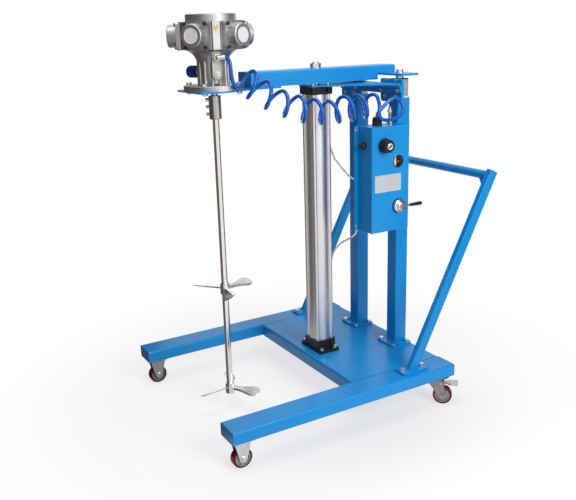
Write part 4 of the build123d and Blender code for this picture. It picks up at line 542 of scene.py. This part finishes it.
# Head brace and guide plates: folded and flat blue plates that tie the two posts to the
# cylinder's top cap. Pale nylon pads and bushes on them guide the inner columns.
nylon = surface("pad_nylon", (0.78, 0.76, 0.7), (0.66, 0.63, 0.56), 0.46, grain=260, bump=0.00005,
                **{"Subsurface Weight": 0.1, "Subsurface Radius": (0.002, 0.002, 0.0015)})
dress(enamel, "head_brace", "guide_plates")
dress(nylon, "guide_pads")

# Inner columns: square aluminium tubes that rise out of the posts with the arm. They are
# closed by black moulded ends, and a blue yoke plate joins their tops.
column_finish = surface("column_aluminium", (0.7, 0.69, 0.68), (0.56, 0.55, 0.54), 0.42, metallic=1.0,
                        grain=380, stretch=(1, 1, 0.02), bump=0.00003)
black_moulding = surface("black_moulding", (0.012, 0.012, 0.014), (0.007, 0.007, 0.008), 0.4, grain=300,
                         bump=0.00005, **{"Specular IOR Level": 0.35})
dress(column_finish, "inner_columns")
dress(black_moulding, "column_ends")
dress(enamel, "rear_yoke")

# Arm: a folded channel, open below, that rests on the yoke behind and is clamped on the
# piston rod by its nuts. A flat plate welded under its front end carries the motor.
dress(enamel, "arm_beam", "motor_plate")

# Air motor: a sand cast aluminium body with five square cylinder heads round it, a turned
# top cover and a ported side pad. The castings are blasted, so they are matt and slightly
# grainy. The port cover is painted darker than the rest, as painted shade. A bare round
# badge is set in each head.
cast_finish = surface("cast_aluminium", (0.52, 0.52, 0.52), (0.36, 0.36, 0.36), 0.43, metallic=1.0,
                      grain=420, bump=0.0002, spread=0.06)
muffler_blue = surface("muffler_blue", (0.002, 0.05, 0.5), (0.001, 0.03, 0.32), 0.5, grain=700,
                       bump=0.0004, **{"Specular IOR Level": 0.25})
dress(cast_finish, "motor_housing", "motor_heads", "motor_covers")
nickel = surface("nickel_plate", (0.68, 0.65, 0.58), (0.52, 0.49, 0.42), 0.24, metallic=1.0, grain=120)
dress(nickel, "inlet_elbow")
dress(muffler_blue, "exhaust_muffler")

motor_middle = Vector((0, -0.397841))
port_turn = radians(-14)
port_way = Vector((cos(port_turn), sin(port_turn), 0))
port_height, port_reach = 1.320, 0.076
port_face = Vector((*motor_middle, port_height)) + port_way * port_reach
plug_radius, plug_rise = 0.0125, 0.0002
port_cover_top = 1.4
covers = frame["nodes"]["motor_covers"]
covers.data.materials.append(nickel)
# The port cover takes a darker copy of the cast finish: painted shade.
cast_painted_shade = surface("cast_painted_shade", (0.38, 0.38, 0.37), (0.28, 0.28, 0.27), 0.5, metallic=1.0, grain=420,
                    bump=0.0002, spread=0.06)
covers.data.materials.append(cast_painted_shade)
for face in covers.data.polygons:
    reach = face.center - port_face
    proud = reach.dot(port_way)
    on_plug = proud > plug_rise and (reach - port_way * proud).length < plug_radius
    face.material_index = 1 if on_plug else 2 if face.center.z < port_cover_top else 0
screw_black = surface("screw_black", (0.14, 0.14, 0.142), (0.08, 0.08, 0.081), 0.36, metallic=0.8, grain=300)
head_screws_bottom = 1.39
screws = frame["nodes"]["motor_screws"]
screws.data.materials.append(screw_black)
for face in screws.data.polygons:
    face.material_index = 1 if face.center.z > head_screws_bottom else 0

head_seat, head_reach = 0.106, 0.046
head_face = head_seat + head_reach
first_head, head_pitch, head_count = -52, 72, 5
badge_height = 1.4485
badge_radius = 0.0256
badge_silver = surface("badge_silver", (0.88, 0.88, 0.87), (0.8, 0.8, 0.78), 0.36, metallic=0.15,
                       grain=500, bump=0.00003)


def spun_rings(shape, profile, place, axis, sides):
    """A ring of vertices for each (radius, height) pair, round an axis through the place."""
    stand = Matrix.Translation(place) @ Vector(axis).to_track_quat("Z", "Y").to_matrix().to_4x4()
    return [[shape.verts.new(stand @ Vector((
        radius * cos(2 * pi * k / sides), radius * sin(2 * pi * k / sides), height)))
        for k in range(sides)] for radius, height in profile]


def turned_disc(profile, axis_place, axis, sides=48):
    """A disc spun from (radius, height) pairs about an axis, closed at both ends."""
    def fill(shape):
        rings = spun_rings(shape, profile, axis_place, axis, sides)
        for one, two in zip(rings, rings[1:]):
            ring_wall(shape, one, two)
        shape.faces.new(rings[0][::-1])
        shape.faces.new(rings[-1])
    return fill


badge_profile = [(badge_radius, -0.0004), (badge_radius, 0.0007), (badge_radius - 0.0006, 0.001),
                 (badge_radius - 0.002, 0.001), (badge_radius - 0.0024, 0.0006)]
for index in range(head_count):
    out = radians(first_head + head_pitch * index)
    way = Vector((cos(out), sin(out), 0))
    place = Vector((*motor_middle, badge_height)) + way * head_face
    badge = mesh_piece(f"head_badge_{index + 1}", turned_disc(badge_profile, place, way),
                       badge_silver)
    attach(badge, "lift")

plug_turn = radians(-16)
plug_way = Vector((cos(plug_turn), sin(plug_turn), 0))
plug_height, plug_reach = 1.475, 0.11
plug_place = Vector((*motor_middle, plug_height)) + plug_way * plug_reach
plug_profile = [(0.0078, -0.001), (0.0078, 0.0022), (0.0070, 0.003), (0.0042, 0.003), (0.0038, 0.0016)]
plug_brass = surface("plug_brass", (0.72, 0.5, 0.2), (0.5, 0.33, 0.12), 0.3, metallic=1.0, grain=240)
plug = mesh_piece("oil_plug", turned_disc(plug_profile, plug_place, plug_way), plug_brass)
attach(plug, "lift")

# Mixer shaft: a ground stainless bar held by three screws in a bored coupling under the
# motor, with two cast and polished three blade propellers on it.
coupling_steel = surface("coupling_steel", (0.5, 0.46, 0.43), (0.34, 0.31, 0.29), 0.26, metallic=1.0,
                         grain=500, stretch=(1, 1, 0.05))
shaft_steel = surface("shaft_steel", (0.86, 0.83, 0.81), (0.78, 0.75, 0.73), 0.15, metallic=1.0,
                      grain=600, stretch=(1, 1, 0.02), spread=0.03)
propeller_steel = surface("propeller_steel", (0.74, 0.73, 0.7), (0.6, 0.59, 0.56), 0.24, metallic=1.0,
                          grain=220, bump=0.00002)
dress(coupling_steel, "motor_spindle", "shaft_coupling")
dress(shaft_steel, "mixer_shaft")
dress(propeller_steel, "upper_propeller", "lower_propeller")

# Control box: a folded sheet cover screwed to a flat back plate on the side of one post.
# The valves, the regulator and the fittings stand in holes cut through it.
dress(enamel, "box_back_plate", "box_cover")
chrome = surface("bright_chrome", (0.8, 0.8, 0.81), (0.7, 0.7, 0.72), 0.1, metallic=1.0, grain=90,
                 spread=0.03)
grip_blue = surface("grip_blue", (0.008, 0.016, 0.11), (0.004, 0.008, 0.06), 0.3, grain=200,
                    bump=0.00006, coat=0.25, coat_roughness=0.15, **{"Specular IOR Level": 0.3})
dress(black_moulding, "regulator_body", "regulator_knob", "speed_knob", "air_fittings")
dress(turned_brass, "speed_valve", "supply_nipple", "pressure_gauge")
nipple = frame["nodes"]["supply_nipple"]
nipple.data.materials.append(nickel)
nut_height = 0.0101
nut_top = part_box("box_cover")[1].z + nut_height
for face in nipple.data.polygons:
    face.material_index = 0 if face.center.z < nut_top else 1


def turned_ring(profile, place, axis, sides=64):
    """A ring spun from a closed loop of (radius, height) pairs."""
    def fill(shape):
        rings = spun_rings(shape, profile, place, axis, sides)
        for one, two in zip(rings, rings[1:] + rings[:1]):
            ring_wall(shape, one, two)
    return fill


# A thin black ring round the lift valve's boss, painted shade that stands for the dark recess round it.
turn = next(joint for joint in frame["joints"] if joint["name"] == "valve_lever_turn")
ring_place = Vector((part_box("box_cover")[1].x, turn["pos_m"][1], turn["pos_m"][2]))
ring_profile = [(0.0252, 0.0001), (0.0272, 0.0001), (0.0272, 0.003), (0.0266, 0.004),
                (0.0252, 0.004)]
valve_shade_ring = mesh_piece("valve_shade_ring", turned_ring(ring_profile, ring_place, (1, 0, 0)),
                        black_moulding)
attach(valve_shade_ring, "chassis")


def slotted_cap(radius, height, slot):
    """A turned cap with a black screwdriver slot across its face, for a knob's end."""
    sides, arc_steps = 40, 16
    inner, floor_height = radius * 0.8, height * 0.6
    half = asin(slot / 2 / inner)

    def fill(shape):
        def circle(out, rise):
            return [shape.verts.new((out * cos(2 * pi * k / sides), out * sin(2 * pi * k / sides), rise))
                    for k in range(sides)]

        base, edge = circle(radius, 0), circle(radius, floor_height)
        ring_wall(shape, base, edge)
        shape.faces.new(base[::-1])
        for start in (half, half + pi):
            turns = [start + (pi - 2 * half) * k / arc_steps for k in range(arc_steps + 1)]
            arc = [shape.verts.new((inner * cos(turn), inner * sin(turn), height)) for turn in turns]
            low = [shape.verts.new((vertex.co.x, vertex.co.y, floor_height)) for vertex in arc]
            shape.faces.new(arc)
            ring_wall(shape, low, arc)
        ring = circle(inner, floor_height)
        ring_wall(shape, edge, ring)
        shape.faces.new(ring).material_index = 1
    return fill


low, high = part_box("regulator_knob")
knob_middle = (low + high) / 2
cap = mesh_piece("regulator_cap", slotted_cap(radius=0.0122, height=0.0026, slot=0.0062), chrome,
                 black_moulding)
slot_turn = radians(35)
cap.matrix_world = (Matrix.Translation((high.x, knob_middle.y, knob_middle.z))
                    @ Matrix.Rotation(slot_turn, 4, "X")
                    @ Vector((1, 0, 0)).to_track_quat("Z", "Y").to_matrix().to_4x4())
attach(cap, "regulator_knob")

low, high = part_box("speed_knob")
knob_middle = (low + high) / 2
knob_front = Vector((knob_middle.x, low.y, knob_middle.z))
grip_profile = [(0.0062, -0.0085), (0.0098, -0.0075), (0.0102, -0.0062), (0.0102, -0.0012),
                (0.0094, 0), (0.005, 0)]
speed_grip = mesh_piece("speed_grip", turned_disc(grip_profile, knob_front, (0, -1, 0)),
                        black_moulding)
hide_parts("speed_knob")
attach(speed_grip, "speed_knob")
stem_profile = [(0.0072, -0.0125), (0.0072, -0.011), (0.0055, -0.0095), (0.0055, -0.0083)]
speed_stem = mesh_piece("speed_stem", turned_disc(stem_profile, knob_front, (0, -1, 0)),
                        turned_brass)
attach(speed_stem, "speed_knob")
valve_front, stem_bore = 0.1125, 0.008
valve = frame["nodes"]["speed_valve"]
valve.data.materials.append(black_moulding)
for face in valve.data.polygons:
    out = face.center - knob_middle
    black = face.center.y < valve_front and hypot(out.x, out.z) > stem_bore
    face.material_index = 1 if black else 0
dress(chrome, "lift_valve", "valve_lever")
dress(grip_blue, "lever_grip")

# Pressure gauge: a brass case with a cream side and a black bezel. Its dial face is
# painted black, a painted reflection of dark surroundings in the glass, with a cream field on
# one side, plain ticks and a pale needle at rest. Its numbers are left out.
case = frame["nodes"]["pressure_gauge"]
case_cream = surface("case_cream", (0.66, 0.6, 0.42), (0.52, 0.46, 0.3), 0.34, metallic=0.5, grain=240)
case.data.materials.append(case_cream)
case.data.materials.append(black_moulding)
gauge_low, gauge_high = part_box("pressure_gauge")
bezel_depth, dial_depth = 0.0042, 0.002
case_front = gauge_high.x - bezel_depth
for face in case.data.polygons:
    if face.center.x > case_front:
        face.material_index = 2 if face.normal.x > 0.6 else 1
gauge_middle = Vector((gauge_high.x - dial_depth, (gauge_low.y + gauge_high.y) / 2,
                       (gauge_low.z + gauge_high.z) / 2))
# The dial face is painted near black, a painted reflection of dark surroundings in the glass.
dial_dark_reflection = surface("dial_dark_reflection", (0.007, 0.007, 0.008), (0.004, 0.004, 0.005), 0.25, grain=300,
                     coat=0.1, coat_roughness=0.04, **{"Specular IOR Level": 0.3})
dial_cream = surface("dial_cream", (0.72, 0.68, 0.55), (0.64, 0.6, 0.48), 0.4, grain=300)
dial_radius, ring_width, pin_radius = 0.0206, 0.0022, 0.002
rim_height, face_height, tick_height = 0.0007, 0.0003, 0.0004
field_height, needle_height, needle_tail = 0.0009, 0.0011, 0.0035


def gauge_dial(shape):
    """A black rim and a face painted black as a dark reflection in the glass, then the cream field, the
    ticks and the needle in cream.
    """
    def flat_ring(inner, outer, height, sides=64):
        spots = [[shape.verts.new(gauge_middle + Vector((
            height, radius * cos(2 * pi * k / sides), radius * sin(2 * pi * k / sides))))
            for k in range(sides)] for radius in (inner, outer)]
        for k in range(sides):
            after = (k + 1) % sides
            shape.faces.new((spots[0][k], spots[1][k], spots[1][after], spots[0][after]))
        return spots

    def bar(angle, start, end, half, half_end, height):
        way = Vector((0, sin(angle), cos(angle)))
        side = Vector((0, cos(angle), -sin(angle)))
        lift = gauge_middle + Vector((height, 0, 0))
        corners = [lift + way * start - side * half, lift + way * end - side * half_end,
                   lift + way * end + side * half_end, lift + way * start + side * half]
        shape.faces.new([shape.verts.new(corner) for corner in corners]).material_index = 1

    inside = dial_radius - ring_width
    rim = flat_ring(inside, dial_radius, rim_height)
    face = flat_ring(pin_radius, inside, face_height)
    ring_wall(shape, rim[0], face[1])
    shape.faces.new(face[0])
    field_start, field_sweep, field_steps = 122, 116, 24
    field = [radians(field_start + field_sweep * k / field_steps) for k in range(field_steps + 1)]
    shape.faces.new([shape.verts.new(gauge_middle + Vector((
        field_height, dial_radius * cos(turn), dial_radius * sin(turn)))) for turn in field]
    ).material_index = 1
    zero, tick_pitch, tick_count = -135, 13.5, 21
    long_start, short_start, tick_end = inside * 0.78, inside * 0.86, inside * 0.93
    for index in range(tick_count):
        start, half = (long_start, 0.0003) if index % 5 == 0 else (short_start, 0.00015)
        bar(radians(zero + tick_pitch * index), start, tick_end, half, half, tick_height)
    bar(radians(zero), -needle_tail, short_start, 0.0005, 0.0002, needle_height)


dial = mesh_piece("gauge_dial", gauge_dial, dial_dark_reflection, dial_cream)
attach(dial, "chassis")

# Label: a thin aluminium plate with round corners, stuck to the outer face of the box's
# cover. It is left bare, with a low border round an empty field.
label_silver = surface("label_silver", (0.66, 0.68, 0.7), (0.58, 0.6, 0.62), 0.38, metallic=0.35,
                       grain=600, stretch=(1, 0.03, 1))
cover_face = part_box("box_cover")[1].x
label_low = Vector((cover_face, 0.126, 0.857))
label_width, label_height, label_corner, label_thick = 0.123, 0.066, 0.003, 0.0007


def corner_points(width, height, corner, steps_round=5):
    """The outline of a rectangle with round corners."""
    spots = []
    for x, y, start in ((width - corner, height - corner, 0), (corner, height - corner, 90),
                        (corner, corner, 180), (width - corner, corner, 270)):
        for k in range(steps_round + 1):
            angle = radians(start + 90 * k / steps_round)
            spots.append((x + corner * cos(angle), y + corner * sin(angle)))
    return spots


def label_plate(shape):
    """Rings from the plate's foot over its edge to a field pressed in inside the border."""
    outline = corner_points(label_width, label_height, label_corner)
    lift = ((0, 0.0), (0, label_thick * 0.7), (0.0004, label_thick), (0.0022, label_thick),
            (0.0026, label_thick * 0.75))
    rings = []
    for inset, height in lift:
        scale_y = 1 - 2 * inset / label_width
        scale_z = 1 - 2 * inset / label_height
        rings.append([shape.verts.new(label_low + Vector((
            height, inset + y * scale_y, inset + z * scale_z))) for y, z in outline])
    for one, two in zip(rings, rings[1:]):
        ring_wall(shape, one, two)
    shape.faces.new(rings[-1])
    shape.faces.new(rings[0][::-1])


label = mesh_piece("bare_label", label_plate, label_silver)
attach(label, "chassis")

# Clear tubes: two 8 mm polyurethane air lines. One rises from the cylinder's bottom cap and
# one drops from its top cap, and both go in at the back of the control box, pushed into
# black moulded elbows.
clear_tube = surface("clear_tube", (0.86, 0.88, 0.9), (0.78, 0.8, 0.83), 0.14, grain=60, coat=0.4,
                     **{"Transmission Weight": 0.55, "IOR": 1.45})
clear_diameter = 0.008
upper_route = [
    (-0.0220, 0.0927, 1.2085),
    (-0.0220, 0.0927, 1.1501),
    (-0.0210, 0.0940, 1.0899),
    (-0.0160, 0.0980, 1.0299),
    (0.0080, 0.1030, 0.9681),
    (0.0520, 0.1080, 0.9350),
    (0.1000, 0.1182, 0.9009),
    (0.1210, 0.1212, 0.8930),
    (0.1430, 0.1212, 0.8930),
]
lower_route = [
    (-0.0220, 0.0927, 0.2284),
    (-0.0220, 0.0927, 0.2900),
    (-0.0230, 0.0930, 0.3502),
    (-0.0250, 0.0950, 0.4099),
    (-0.0230, 0.0980, 0.4701),
    (-0.0140, 0.1010, 0.5298),
    (0.0080, 0.1050, 0.5828),
    (0.0500, 0.1100, 0.6219),
    (0.0940, 0.1160, 0.6449),
    (0.1280, 0.1192, 0.6678),
    (0.1430, 0.1212, 0.6840),
    (0.1430, 0.1212, 0.7060),
]
for name, node, route in (("clear_tube_upper", "air_tube_upper", upper_route),
                          ("clear_tube_lower", "air_tube_lower", lower_route)):
    places = points_along(smooth_line(name + "_line", route))
    tube = mesh_piece(name, round_tube(places, clear_diameter / 2, sides=12), clear_tube)
    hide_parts(node)
    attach(tube, "chassis")

# Push handle: two rectangular tubes leaning back from foot plates bolted on the rails, and a
# round pipe across near their tops with a gusset welded in each corner.
dress(enamel, "handle_tubes", "handle_bar")
